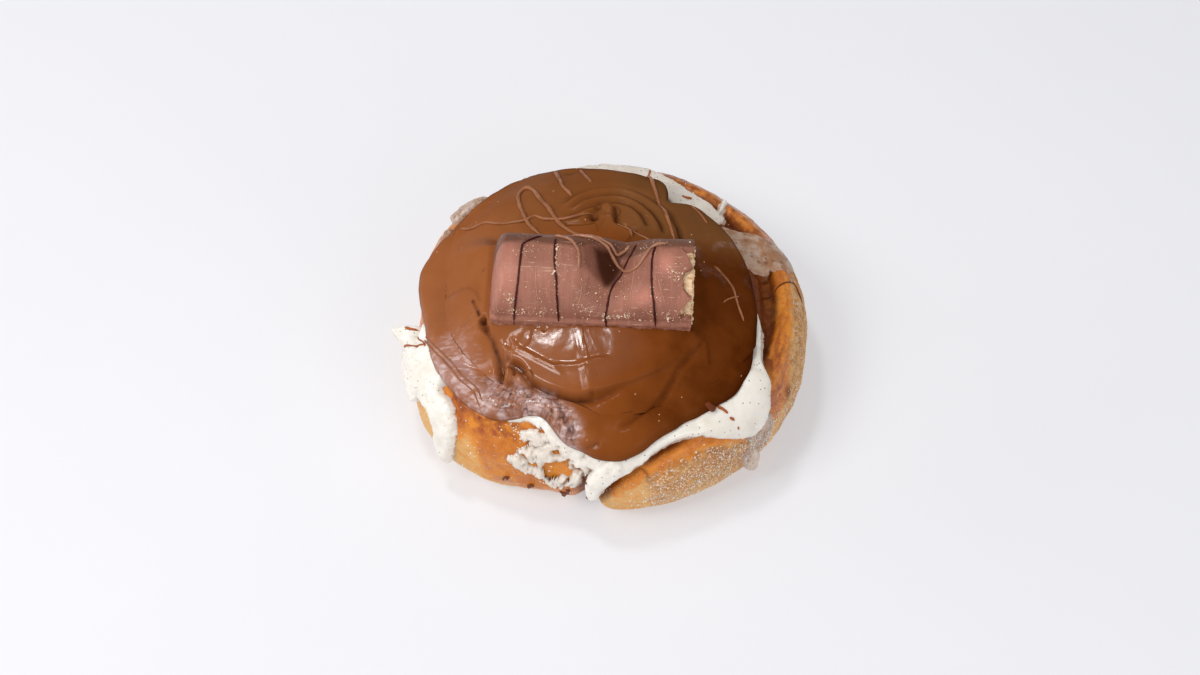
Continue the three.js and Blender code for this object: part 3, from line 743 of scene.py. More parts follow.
@dataclass
class Icing:
    """White icing that lies under the chocolate and runs out past it.

    Its grid covers the places within reach and not hidden deep under the chocolate, down to
    a lowest height inside the dough.
    """

    form: RollForm
    dough: Dough
    step: float = 0.27
    reach: float = 74.0
    hidden: float = 4.0
    lowest: float = -0.75
    noise: Noise = Noise(23)
    runs: tuple[Run, ...] = (
        # left
        Run(((-54.6, -9.6, 2.4), (-54.8, -13, 4.2), (-54.4, -19, 5.8), (-52.2, -27, 4.4)), 3.2, 2.4, 0.9),
        Run(((-48.4, -11.6, 1.4), (-47.6, -15.4, 3), (-47, -21, 3.6), (-44, -28, 3.4)), 2.4, 2, 0.5),
        Run(((-50, -26, 4.2), (-47.6, -32, 4.2), (-45.2, -37, 4.4), (-45.6, -41, 4.5), (-48.6, -44.4, 3.4),
            (-50.8, -46.8, 2)), 2.7, 2.2, 0.6),
        # front
        Run(((-25, -41.6, 0.8), (-21, -40.9, 1.7), (-17, -42.2, 2.2), (-13.5, -45.6, 2.7), (-10.5, -48.6, 3.2),
            (-7, -52, 3.2)), 1.6, 1.3, 0.7),
        Run(((-27.4, -52.4, 1), (-23, -52.6, 3), (-17, -54.2, 4.6), (-11.4, -55.8, 4.8), (-7.4, -55, 3)),
            1.7, 1.7, 1.2, 0.2),
        Run(((-22.4, -46.4, 1), (-18.4, -47.6, 2.2), (-14, -50, 2.6), (-10, -52, 2.2)), 1.5, 1.6, 1.1, 0.25),
        Run(((1.8, -55.4, 3), (-1.4, -58, 3.1), (-3.1, -60, 3), (-3.6, -61.6, 2.4)), 3, 2.2, 0.3),
        Run(((-3.6, -53.4, 2.4), (2, -55.2, 3.2), (7.6, -52.6, 2.3), (12.6, -49, 1.9), (18.2, -45.9, 1.9),
            (23, -43.6, 3.2)), 1.7, 1.5, 0.3),
        # right
        Run(((26.6, -42, 4.6), (32.6, -40.6, 5.7), (37.4, -37.6, 6.7), (38.2, -31, 5)), 2.3, 2.8, 0.25),
        Run(((38, -30, 4.4), (37.2, -23, 2.9), (38.2, -16, 2.1), (38.8, -11, 1.2), (38.6, -8.4, 0.5)),
            1.6, 1.4, 0.15),
        Run(((40.6, -42, 3), (44, -42.4, 4.4), (45.2, -45.4, 4), (44.4, -48.6, 2.4)), 0.65, 2.2, 0.5, 0.9),
        Run(((42.6, -39, 2), (46.6, -39, 2.6), (49.4, -41.2, 2.2)), 0.55, 2, 0.5, 0.9),
        Run(((45.4, -47.2, 1.7), (46.9, -49.6, 2.3)), 2.8, 2.1, 0.1, 0.55),
        # back
        Run(((-23, 41.4, 0.8), (-14, 42.8, 1.3), (-5, 43.8, 2), (3, 43.2, 3.6), (10, 40.6, 4.6), (15, 36.6, 4.6),
            (20, 31.6, 4.3), (25, 27.4, 4), (28.6, 24.6, 3)), 1.1, 1.5, 0.4, 0.2),
        Run(((29.4, 25.4, 0.6), (31, 28.4, 0.5), (32.6, 32.4, 0.8)), 0.9, 0.8, 0.2, 0.1),
        Run(((31.2, 20, 1.2), (35.6, 17.4, 3.2), (40, 16, 4)), 0.5, 1.8, 0.5, 1),
        Run(((33, 11.4, 3.4), (38.6, 12.4, 6.6), (43.6, 13.4, 6.2), (48.4, 12.2, 4.2)), 0.6, 2, 0.5, 1),
        Run(((-33.4, 32.4, 1.6), (-37.4, 30.6, 2.5), (-41, 27.4, 2.3)), 2.2, 1.6, 0.5, 0.8),
        Run(((-43.4, 22, 1.2), (-45, 16, 1.7), (-46.2, 10, 1)), 1.2, 1.2, 0.8, 0.95),
    )
    holes: tuple[Line, ...] = (
        ((-17.6, -54.8, 0.9), (-14.2, -54.9, 1.5), (-11, -56.4, 1.2)),
        ((-22.4, -53.9, 0.4), (-21, -54.3, 0.6)),
        ((-9.4, -55.6, 0.5), (-8.4, -56.4, 0.4)),
    )
    flap: Point = (187.4, 57, 3.4, 4.4)

    def height(self, u: Array, v: Array) -> tuple[Array, Array]:
        """Height of the icing above the smooth skin, and how much of it is a thin film.

        Args:
            u: first coordinate on the rolled-out surface.
            v: second coordinate.

        Returns:
            Height in mm, negative where there is no icing, and a share from 0 to 1.
        """
        where = flat_points(u, v)
        rough = self.noise(where, 2.6, 3, 0.6)
        total, thin, sharp = np.zeros(u.shape), np.zeros(u.shape), 4.0
        for run in self.runs:
            inward = Stroke(run.line).inward(u, v) + run.ragged * rough
            rise = run.thickness * bead(inward, run.edge) + np.minimum(inward, 0) * 0.9
            weight = np.exp(sharp * np.clip(rise, -4, 6))
            total += weight
            thin += weight * run.thin
        height, thin = np.log(total) / sharp, thin / total
        for hole in self.holes:
            height = np.minimum(height, (0.5 * rough - Stroke(hole).inward(u, v)) * 1.4)
        lace = self.noise(where * [0.8, 1.2, 1] + 13, 4.4, 3, 0.65)
        torn = hump(np.hypot((u + 17) / 12, (v + 55) / 6.4), 1.0)
        height = height - torn * (3.4 * ease(0.2, 0.6, lace) - 0.7 * ease(0.1, -0.5, lace)) * ease(-0.5, 0.5, height)
        body = ease(0.1, 1.0, height)
        lively = 0.25 + 0.75 * ease(14, -4, u)
        creamy = 0.14 * ease(-28, -40, u) * (1 - 2 * np.abs(self.noise(where + 17, 3.2, 2)))
        uneven = 0.45 * self.noise(where + 7, 4.5, 3) + 0.06 * rough + creamy
        height = height + body * uneven * lively * (1 - 0.8 * thin)
        at, s, size, lift = self.flap
        deg, walked = polar(u, v)
        aside, along = np.radians(turn_from(at, deg)) * 54, walked - s
        wavy = self.noise(where + 31, 2.2, 2)
        thin = np.maximum(thin, 0.5 * hump(np.hypot(aside, along - 1.5), 3.0) * ease(-0.3, 0.3, wavy))
        height = height + body * lift * hump(np.hypot(aside, along) + 0.9 * wavy, size)
        return height, thin

    def build(self, chocolate_inward: Callable[[Array, Array], Array]) -> Piece:
        """Make the icing.

        Args:
            chocolate_inward: distance inside the chocolate's outline.

        Returns:
            The icing piece.
        """
        line = np.arange(-72, 72, self.step)
        u, v = np.meshgrid(line, line)
        inside = (chocolate_inward(u, v) < self.hidden) & (np.hypot(u, v) < self.reach)
        height, thin = np.full(u.shape, NO_LAYER), np.zeros(u.shape)
        height[inside], thin[inside] = self.height(u[inside], v[inside])
        quads = grid_faces(len(line), len(line), False)[:, ::-1]
        quads = quads[(height > self.lowest).ravel()[quads].all(axis=1)]
        used = np.unique(quads)
        uu, vv = u.ravel()[used], v.ravel()[used]
        points = np.zeros((u.size, 3))
        lumps = self.dough.lumps(self.form.skin(*polar(uu, vv)))
        points[used] = self.form.above(uu, vv, height.ravel()[used] + lumps)
        masks = {"thin": thin.ravel(), "depth": np.clip(height.ravel(), 0, 4)}
        return new_mesh("icing_layer", *drop_unused(points, quads, masks))


@dataclass
class Chocolate:
    """The poured chocolate cap: outline, dome, folds, pits and wrinkled strip."""

    form: RollForm
    bar: BarForm
    pour: Point = (-4.0, -7.0)
    reach: float = 43.8
    lobes: Line = (
        (115, 34, 4.6), (30, 32, -2.6), (42, 7, -1.6), (54, 6, -7), (82, 15, -1.5), (166, 13, 2.8), (212, 14, 1),
        (249, 10, -6.2), (280, 11, 3.8), (327, 16, 2.6),
    )
    thickness: float = 4.6
    edge: float = 3.2
    dome: float = 3.2
    dome_spread: float = 40.0
    columns: int = 1100
    noise: Noise = Noise(37)
    folds: tuple[Fold, ...] = (
        Fold(((-32.6, -10.4), (-31.6, -12.6), (-30.4, -15.4), (-29.8, -17.2)), 0.3, -0.3, 1.2, 0.7, 2, 0.9),
        Fold(((-29.8, -16.6), (-28.8, -19.4), (-27.6, -22), (-26.7, -24.8), (-25.9, -28), (-25.5, -31),
            (-26.2, -33.4)), 0.9, -0.8, 2, 1.1, 3, 0.85, 0.9),
        Fold(((-25.2, -28.6), (-22.6, -28.6), (-20.6, -30.2), (-19, -33), (-16.1, -35.2), (-11.7, -37.2),
            (-7.4, -38.4), (-2.3, -38.1), (1.4, -36.7), (6, -34.8)), 1.7, 0.6, 1.3, 0.8, 9, 0.85, 0.6),
        Fold(((-6, -38.2), (1.4, -36.7), (8.8, -34), (14.1, -31.2), (18.6, -27.4), (22.2, -24)),
            0.9, 0, 0.3, 1.2, 10, 0, 0.6),
        Fold(((2.4, -46.6), (5.2, -45.3), (8.8, -43), (11.8, -39.6), (14.2, -36.6), (15.9, -33.3), (17.4, -30.2),
            (19.7, -27.4), (22.7, -23.1), (24.4, -19)), 0.5, -0.5, 0.7, 0.8, 4, 0.45, 0.8),
        Fold(((-15, -37.6), (-12.2, -39.6), (-9.4, -43.4), (-7.4, -47.4), (-7.2, -49.4)),
            0, -0.8, 0.6, 0.7, 3, 0.35, 0.9),
        Fold(((-9, -50.6), (-6, -49.8), (-3.4, -49), (-0.6, -48.8)), 0.45, 0.2, 0.5, 0.6, 1.6, 0.4),
        Fold(((-30.4, -13.4), (-31.5, -10.2), (-33.7, -7.2), (-37.2, -5.9), (-41.3, -6.6)),
            0.75, 0.1, 0.35, 0.9, 3, 0.25),
        Fold(((18.6, 2), (17.6, 9), (14.4, 15.6), (10, 20.2), (3.5, 23.6), (-3, 23.2), (-8, 20.6), (-13, 16.4)),
            1.6, 0.3, 0.8, 0.9, 4.5, 0.4),
        Fold(((14, 6), (12.6, 11), (9.4, 16), (5, 19.4), (1, 20), (-4.4, 18.8), (-10.6, 15)),
            1.1, 0.1, 0.8, 0.75, 2.6, 0.4),
        Fold(((10, 8), (8.4, 12.6), (5.4, 16), (1, 17.2), (-3.4, 15.8), (-11, 12.4)), 0.8, 0.1, 0.7, 0.8, 2.4, 0.4),
        Fold(((7.6, 6.6), (4.4, 8.6), (2.4, 10), (2, 13.4), (0.4, 15.6), (-1.8, 15), (-3, 12)),
            1.6, 0.2, 1, 0.8, 2.6, 0.5),
        Fold(((-2.6, 10.4), (-6, 9.6), (-11, 9.8)), 0.5, 0.1, 0.5, 0.7, 2.4),
        Fold(((16, 24), (21, 21), (27, 15.5), (31, 9), (34, 0)), 0.5, 0.1, 0.25, 1.2, 6),
        Fold(((-12, 33), (-4, 36.8), (4, 36), (10, 33), (14, 28.6)), 0.5, 0.2, 0.4, 1.1, 5),
        Fold(((27.4, -2.6), (29.8, -7), (31, -12)), 0.2, 0, 0.25, 0.9, 3),
    )
    lips: tuple[Line, ...] = (
        ((-27.6, -14), (-25.1, -19.2), (-23.5, -21.5), (-22.5, -24.6), (-18.8, -27.4), (-12.8, -31), (-9.4, -34)),
        ((-25.6, -22), (-24.6, -25), (-22.6, -26.6)),
        ((-13.7, -30.3), (-8, -30.9), (-2.3, -29.6), (2, -29.4)),
        ((23.2, -22.4), (24.2, -25.4), (24.4, -29)),
    )
    dollops: Line = (
        (-24.2, -31.4, 1.8, 2.2, 1.9), (-20.4, -33, 2.7, 2.1, 2.3), (0.9, 13.4, 2.5, 2, 1.7),
        (-20.5, -22, 2.6, 3.4, 0.5),
    )
    pits: Line = (
        (-29.3, -17.6, 0.7, 2), (-29.6, -3.8, 0.7, 0.9), (-3.2, 12.4, 1.3, 1.9), (-24.5, -27.4, 1, 0.9),
        (-16.9, -20.5, 0.5, 0.6), (-15, -21.3, 0.5, 0.6), (-3.5, -37.6, 0.6, 0.7), (-35.4, -31.6, 0.5, 0.6),
    )
    wrinkled: Line = (
        (-41, -25, 2.2), (-38.4, -29, 3.2), (-34, -33.6, 3.8), (-28.4, -36.8, 4.2), (-22.6, -37.9, 4.2),
        (-17.2, -39.8, 4.2), (-12.4, -43.2, 3.8), (-8, -47.6, 2.8),
    )

    def outline(self, deg: Array) -> Array:
        """Distance of the edge from the place where it was poured."""
        ring = np.stack([*unrolled(deg, 44), np.zeros(np.shape(deg))], -1)
        return lobed(self.reach, self.lobes, deg) + 0.35 * self.noise(ring, 7, 2)

    def inward(self, u: Array, v: Array) -> Array:
        """Distance inside the chocolate's outline."""
        deg, s = polar(u - self.pour[0], v - self.pour[1])
        return self.outline(deg) - s

    def folded(self, u: Array, v: Array) -> Array:
        """Relief of the folds, pits and wrinkles."""
        total = sum(fold.relief(u, v)[0] for fold in self.folds)
        for lip in self.lips:
            dist, share, side, _ = Stroke(lip).measure(u, v)
            fade = ease(0, 0.15, share) * ease(1, 0.8, share)
            total += fade * (0.42 * hump(dist, 0.62) - 0.3 * ease(0.2, 1.4, dist * side) * np.exp(-dist / 3.5))
        for pu, pv, size, depth in self.pits:
            total -= depth * hump(np.hypot(u - pu, v - pv), size)
        uneven = 0.16 * self.noise(flat_points(u, v) + 77, 2.2, 2)
        for pu, pv, wide, deep, lift in self.dollops:
            total += lift * np.sqrt(np.clip(1 - ((u - pu) / wide) ** 2 - ((v - pv) / deep) ** 2 + uneven, 0, 1.2))
        inside, lines, broad = self.wrinkles(u, v)
        return total + inside * (0.4 * broad - 0.36 * lines - 0.1)

    def wrinkles(self, u: Array, v: Array) -> tuple[Array, Array, Array]:
        """How far inside the wrinkled strip, where its fine creases run, and its broad unevenness."""
        where = flat_points(u * 0.8 + v * 0.6, v * 0.8 - u * 0.6) * [0.7, 1.0, 1]
        warp = self.noise(where + 19, 4, 2)[..., None] * [1.8, 1.2, 0]
        coarse = self.noise(where + warp + 3, 3.4, 2)
        fine = self.noise(where - warp + 51, 1.9, 2)
        crackled = ease(-34, -27, u + 0.3 * v + 10)
        lines = np.maximum(hump(coarse, 0.08), 0.7 * hump(fine, 0.12)) * crackled
        broad = 0.8 * self.noise(where + 33, 5.5, 2) + 0.5 * self.noise(where + warp + 8, 2.4, 2)
        return ease(-0.9, 2.4, Stroke(self.wrinkled).inward(u, v)), lines, broad * (0.4 + 0.6 * crackled)

    def crease_shading(self, u: Array, v: Array) -> Array:
        """Painted shade in the creases, pits and wrinkle lines, 0 to 1."""
        crease_shade = np.maximum.reduce([fold.relief(u, v)[1] for fold in self.folds if fold.crease_shade])
        for pu, pv, size, depth in self.pits:
            crease_shade = np.maximum(crease_shade, ease(0.3, 1.4, depth) * hump(np.hypot(u - pu, v - pv), 0.75 * size))
        crease_shade = crease_shade * (0.75 + 0.5 * self.noise(flat_points(u, v) + 5, 1.8, 2))
        inside, lines, _ = self.wrinkles(u, v)
        return np.maximum(crease_shade, 0.75 * inside * lines)

    def height(self, u: Array, v: Array) -> Array:
        """Height of the chocolate above the smooth skin."""
        inward, where = self.inward(u, v), flat_points(u, v)
        dome = self.dome * np.clip(1 - (np.hypot(u, v) / self.dome_spread) ** 4, 0, None)
        soft = 0.28 * self.noise(where, 15, 2) + 0.035 * self.noise(where, 3.5)
        lively = (self.folded(u, v) + soft) * ease(1, 6, inward)
        poured = (self.thickness + dome + 0.18 * hump(inward - 4.2, 2.6) + lively) * bead(inward, self.edge)
        local = self.bar.local(self.form.above(u, v, poured))
        aside = np.clip(np.abs(local[..., 1]) - self.bar.foot, 0, None)
        beyond = np.clip(np.maximum(-local[..., 0], local[..., 0] - self.bar.length), 0, None)
        gap = self.bar.seat_rise - local[..., 2] - self.bar.seat_slope * np.hypot(aside, beyond)
        return poured + np.clip(np.log1p(np.exp(np.clip(2 * gap, -30, 30))) / 2, 0, 4) * ease(0.5, 6, inward)

    def build(self) -> Piece:
        """Make the chocolate cap."""
        deg = np.linspace(0, 360, self.columns, endpoint=False)
        edge, band = self.outline(deg), 7
        rows = [((edge - band) * share, 0.0) for share in np.linspace(0.01, 1, 118)]
        rows += [(edge - inward, 0.0) for inward in np.linspace(band, self.edge, 13)[1:]]
        rows += [(edge - self.edge * (1 - math.sin(turn)), turn) for turn in np.radians(np.linspace(0, 90, 15))[1:]]
        points, masks = [], {"bloom_and_sheen": [], "gloss": [], "shade": [], "umber": [], "crease_shade": []}
        for s, turn in rows:
            u, v = unrolled(deg, s)
            u, v = self.pour[0] + u, self.pour[1] + v
            height = self.height(u, v) - 0.9 * ease(0.93, 1, turn / (math.pi / 2))
            tuck = unrolled(deg, 0.55 * (1 - math.cos(turn)) ** 2)
            u, v = u - tuck[0], v - tuck[1]
            points.append(self.form.above(u, v, height))
            for mask, values in zip(masks, self.masks(u, v)):
                masks[mask].append(values)
        values = {name: np.concatenate(parts) for name, parts in masks.items()}
        return new_mesh("chocolate_cap", np.vstack(points), grid_faces(len(rows), self.columns), values)

    def masks(self, u: Array, v: Array) -> tuple[Array, ...]:
        """Where the chocolate has a pale bloom with painted sheen, is glossy, has painted shade from a lit left to a
        deep right, is umber, and has painted shade in its creases.
        """
        where = flat_points(u, v)
        wander = self.noise(where + 60, 5, 3)
        patchy = 0.35 + 0.5 * ease(-0.35, 0.35, wander + 0.6 * self.noise(where + 88, 2.6, 2))
        # The pale dull bloom of the wrinkled strip, with painted sheen mixed in.
        bloom_and_sheen = np.maximum.reduce([
            ease(-1.6, 2.2, Stroke(self.wrinkled).inward(u, v) + 1.3 * wander) * patchy,
            # this soft patch on the left is painted sheen
            0.95 * hump(np.hypot(u + 39.6, v + 26.6), 6.4) * ease(-0.9, 0.2, wander),
            0.14 * hump(np.hypot(u - 27, v - 2), 8) * ease(-0.1, 0.6, wander)])
        gloss = np.maximum.reduce([
            ease(1.25, 0.75, np.hypot((u + 9) / 17, (v + 26) / 9)), 0.6 * hump(np.hypot(u + 42, (v + 10) * 0.6), 7),
            0.5 * hump(np.hypot(u + 4, (v + 49.4) * 1.6), 3)])
        # shade is painted shade: light on the left, where the lamps fall, and deep on the right
        across = (u + 0.12 * v + 4 * wander) / 44
        shade = 0.5 + 0.42 * np.tanh(across * 1.5) - 0.1 * hump(np.hypot(u + 2, v + 36), 11) + 0.05 * hump(u - 12, 12)
        umber = ease(-3, 12, v) * ease(-4, 16, u + 2 * wander) + 0.55 * ease(4, 12, v) * ease(-40, -16, u)
        return tuple(np.clip(mask, 0, 1) for mask in (bloom_and_sheen, gloss, shade, umber, self.crease_shading(u, v)))


@dataclass
class Surface:
    """Top of everything poured, for pieces that lie on it."""

    form: RollForm
    dough: Dough
    icing: Icing
    chocolate: Chocolate

    def bare(self, u: Array, v: Array) -> Array:
        """How bare the dough is: 0 under a layer, 1 clear of it."""
        out = ease(-0.6, -3.2, self.chocolate.inward(u, v))
        near = np.hypot(u, v) < self.icing.reach
        height, thin = self.icing.height(u[near], v[near])
        out[near] = np.minimum(out[near], ease(0.4, -1.4, height - thin))
        return out

    def height(self, u: Array, v: Array) -> Array:
        """Height above the smooth skin."""
        deg, s = polar(u, v)
        ground = self.dough.relief(deg, s, self.bare(u, v))
        cap = np.where(self.chocolate.inward(u, v) > 0, self.chocolate.height(u, v), NO_LAYER)
        ice, _ = self.icing.height(u, v)
        lumps = self.dough.lumps(self.form.skin(deg, s))
        return np.maximum.reduce([cap, ground, np.where(ice > 0, ice + lumps, NO_LAYER)])

    def points(self, u: Array, v: Array, lift: Array | float = 0.0) -> Array:
        """Points on top of the layers, raised by a lift."""
        return self.form.above(u, v, self.height(u, v) + lift)


@dataclass(frozen=True)
class Thread:
    """A thin thread of chocolate dropped over the roll."""

    line: Line
    radius: float = 0.52
    sink: float = 0.25


@dataclass
class Threads:
    """All the chocolate threads that lie on the layers."""

    surface: Surface
    noise: Noise = Noise(41)
    light: tuple[Thread, ...] = (
        Thread(((-38, 17.5), (-35, 15.5), (-31, 16), (-27, 13.5), (-23, 13), (-20, 13), (-18, 14.2), (-15.5, 12.2),
            (-11, 11.6), (-7, 12.2), (-3.4, 13.6)), 0.42),
        Thread(((-16, 6.5), (-19, 10.5), (-21, 16), (-22.4, 22), (-22.2, 26), (-20.8, 27.6), (-19, 26), (-17, 21),
            (-14.4, 16), (-12, 10.5), (-9, 7), (-6, 5), (-3, 4)), 0.52),
        Thread(((10, 36), (11.2, 29), (12.2, 23), (13.4, 17), (14.4, 13), (15.4, 9), (16.5, 4.5)), 0.42),
        Thread(((-13.5, 34.5), (-12, 29), (-11, 25), (-9, 21.5)), 0.48),
        Thread(((-7, 34.5), (-5.6, 30.5), (-4, 27)), 0.34),
        Thread(((26, -1), (29, -4), (31, -7), (32.2, -11), (34, -15.5)), 0.3),
        Thread(((28.4, -11.6), (30, -10), (32.8, -8.6)), 0.22),
        Thread(((-47.6, -16), (-44.8, -20.4), (-42.5, -24.1), (-39.6, -28.3), (-37.2, -31.7), (-33.4, -35.4),
            (-31.3, -39.4)), 0.26),
        Thread(((-46.8, -15.6), (-44, -20.2), (-41.7, -23.8), (-38.8, -27.9), (-36.5, -31.2), (-32.7, -34.8),
            (-30.6, -38.6)), 0.22),
        Thread(((-36.4, -17.6), (-34, -16.4), (-31.4, -14.4)), 0.2),
        Thread(((2.2, 9.4), (4.7, 7.6), (8.6, 5.4), (12, 3.4)), 0.26),
        Thread(((4.4, 10.2), (5.2, 7.8), (6.2, 4.8)), 0.3),
        Thread(((20.9, 19.9), (23.3, 16.6), (25.1, 13.1)), 0.24),
    )
    dark: tuple[Thread, ...] = (
        Thread(((36.6, -5.4), (38.6, -4.6), (40.3, -3.2), (43.3, 0.4), (47.4, 3.4), (51.4, 5.7), (54, 4.3),
            (56.2, 1.5)), 0.2, 0.12),
        Thread(((24.4, -39.2), (25.6, -39.4), (27.2, -39.7)), 0.95, 0.6),
    )
    brown: tuple[Thread, ...] = (
        Thread(((-54.8, -14.2), (-52.4, -15.6), (-50.4, -17), (-46.6, -18.2)), 0.28, 0.2),
        Thread(((-51.2, -13), (-49.6, -15), (-47.6, -17), (-46.4, -19.2)), 0.24, 0.2),
        Thread(((-53.6, -8.6), (-53, -9.6), (-51.8, -10.4)), 0.45, 0.3),
        Thread(((12, 43), (11.2, 39.6), (10.4, 36.4)), 0.34, 0.25),
        Thread(((20, 31.6), (21.6, 30.4), (23, 30.6)), 0.4, 0.3),
        Thread(((27.6, -38.6), (29.2, -39), (30.7, -39.9)), 0.42, 0.3),
        Thread(((30.9, -40.7), (31.9, -40.9), (32.7, -41.2)), 0.42, 0.3),
        Thread(((33.4, -42), (33.9, -42.6), (34.4, -43.3)), 0.4, 0.3),
    )

    def mesh(self, threads: Sequence[Thread]) -> Mesh:
        """Tubes that follow the layers, one for each of the threads."""
        strands = []
        for number, thread in enumerate(threads):
            line = Stroke(thread.line).smooth(0.45)
            even = 0.14 * self.noise(flat_points(*line.T) + 9 * number, 3, 2)
            u, v = line[:, 0] + even, line[:, 1] - even
            uneven = 1 + 0.28 * self.noise(flat_points(u, v) + 5 * number, 2.8, 2)
            radii = thread.radius * uneven * taper(len(line), 0.35, 0.06)
            path = self.surface.points(u, v, radii - thread.sink)
            smooth = evened(path, 3)
            smooth[:, 2] = np.maximum(smooth[:, 2], path[:, 2] - 0.15)
            strands.append((smooth, radii))
        return tubes(strands, 12)


@dataclass
class WaferBar:
    """Piece of a coated wafer bar: coat, wafer core, lines, threads and crumbs."""

    form: BarForm = BarForm()
    stations: int = 420
    gap: float = 0.3
    seed: int = 77
    noise: Noise = Noise(53)
    lines: tuple[Line, ...] = (
        ((7, -4), (7.3, 20), (8, 60), (8.5, 96), (9.5, 108), (13.8, 127)),
        ((18.7, -2), (18.4, 25), (18, 62), (17.2, 90), (17, 121)),
        ((30.9, -6), (30.6, 12), (30.8, 27), (31.8, 71), (34.5, 89), (35.8, 102), (37.8, 127)),
        ((43.3, -2), (42.8, 30), (42, 67), (42, 93), (42.8, 109)),
    )
    strands: tuple[Line, ...] = (
        ((16.9, 128), (20.5, 117), (22.2, 105), (23.3, 94), (23.6, 80)),
        ((22.5, 131), (25.2, 126), (30, 114), (31.8, 103), (34.5, 90), (36.5, 87), (38.2, 88), (40.2, 95),
            (41.4, 105), (43.4, 112), (46, 116)),
        ((21, 133), (26.5, 127), (30.8, 120), (32.8, 108), (34, 112), (35.4, 120), (36.2, 127)),
    )
    scratches: tuple[Line, ...] = (
        ((12.6, 82), (12.8, 60), (13.4, 30), (13.8, 12)),
        ((37.6, 98), (37.2, 70), (36.8, 40), (36.4, 10)),
        ((24.4, 58), (24.2, 40), (23.6, 24)),
        ((43.6, 70), (44.8, 45), (45.8, 28)),
        ((50.8, 36), (49.6, 20), (48.2, 4)),
        ((38.8, 30), (40.6, 18), (42, 8)),
    )
    chips: tuple[Line, ...] = (
        ((49.4, 108), (50.7, 99), (51.6, 92), (52.2, 87), (51.8, 84), (50.6, 81.5), (54, 80), (54, 110)),
        ((50.5, 81.5), (49.9, 74), (49.8, 62), (50.4, 52), (51.6, 42), (54, 42), (54, 82)),
        ((51.9, 38), (51, 30), (50, 22), (49.1, 11), (49.6, 3.5), (54, 3), (54, 38)),
    )
    crumbs: Line = (
        (10.2, 96, 1.6, 5, 26, 0.17), (5.8, 28, 0.8, 9, 26, 0.2), (7.6, 8, 2.6, 4, 26, 0.2),
        (17.6, 84, 0.4, 12, 26, 0.2), (18.4, 40, 0.3, 26, 18, 0.16), (21.8, 84, 1.4, 5, 16, 0.13),
        (26.2, 55, 2.4, 9, 40, 0.13), (25.2, 18, 2.4, 5, 30, 0.17), (34.8, 10, 2.2, 3, 34, 0.22),
        (30.3, 9, 0.5, 7, 16, 0.22), (42.2, 70, 0.4, 20, 20, 0.15), (47.6, 78, 1.7, 7, 40, 0.18),
        (47.6, 12, 1.8, 6, 26, 0.17), (41.5, 10, 1.8, 6, 20, 0.15), (35, 62, 1.4, 12, 14, 0.14),
        (14.6, 40, 1.8, 12, 22, 0.12), (15.2, 10, 2.4, 4, 22, 0.17), (44, 40, 1.2, 12, 14, 0.13),
        (4, 60, 1.8, 22, 14, 0.12), (42, 116, 4.5, 5, 16, 0.18), (30, 60, 18, 45, 70, 0.11),
    )

    def angle_of(self, points: Array) -> Array:
        """Arch angle of points in the bar's frame, below 0 or above 180 on the flange."""
        form = self.form
        x, y, z = points[..., 0], points[..., 1], points[..., 2]
        pulled = form.end_ease(x)
        top = form.height(x) - form.end_drop * pulled
        across = np.clip(np.abs(y) / (form.body - form.end_pull * pulled), 0, 1.2)
        up = np.clip((z - form.arch_foot) / (top - form.arch_foot), 0, 1.2)
        power = 1 / form.arch_power
        angle = np.degrees(np.arctan2(up**power, -np.sign(y) * across**power))
        below = np.clip(form.arch_foot - z, 0, None) * 6
        return np.where(y < 0, angle - below, angle + below)

    def inside(self, x: Array, angle: Array, corners: Line) -> Array:
        """Signed distance in mm into a straight-sided patch of the arch."""
        px, py = np.asarray(x, float), np.asarray(angle, float) * ARC
        pts = [(cx, ca * ARC) for cx, ca in corners]
        best = np.full(px.shape, 1e9)
        within = np.zeros(px.shape, bool)
        for (ax, ay), (bx, by) in zip(pts, pts[1:] + pts[:1]):
            along = (bx - ax, by - ay)
            span = max(along[0] ** 2 + along[1] ** 2, 1e-9)
            t = np.clip(((px - ax) * along[0] + (py - ay) * along[1]) / span, 0, 1)
            best = np.minimum(best, np.hypot(px - ax - t * along[0], py - ay - t * along[1]))
            crosses = (ay > py) != (by > py)
            slope = ax + (py - ay) * along[0] / (along[1] if abs(along[1]) > 1e-9 else 1e-9)
            within ^= crosses & (px < slope)
        return np.where(within, best, -best)

    def chipped(self, points: Array) -> Array:
        """Share of the coat that is missing, 0 to 1."""
        angle = self.angle_of(points)
        ragged = 0.2 * self.noise(points + 3, 1.3, 3, 0.6)
        out = np.maximum.reduce([self.inside(points[..., 0], angle, corners) for corners in self.chips])
        return ease(-0.1, 0.16, out + ragged)

    def outer_relief(self, points: Array) -> Array:
        """Fine unevenness of the moulded coat."""
        return 0.10 * self.noise(points, 7, 3, 0.45) + 0.02 * self.noise(points, 1.1, 2)

    def slice(self, x: float, flat: Array) -> Array:
        """Ring of points at a distance along the bar, from their y and z."""
        return np.column_stack([np.full(len(flat), x), flat])

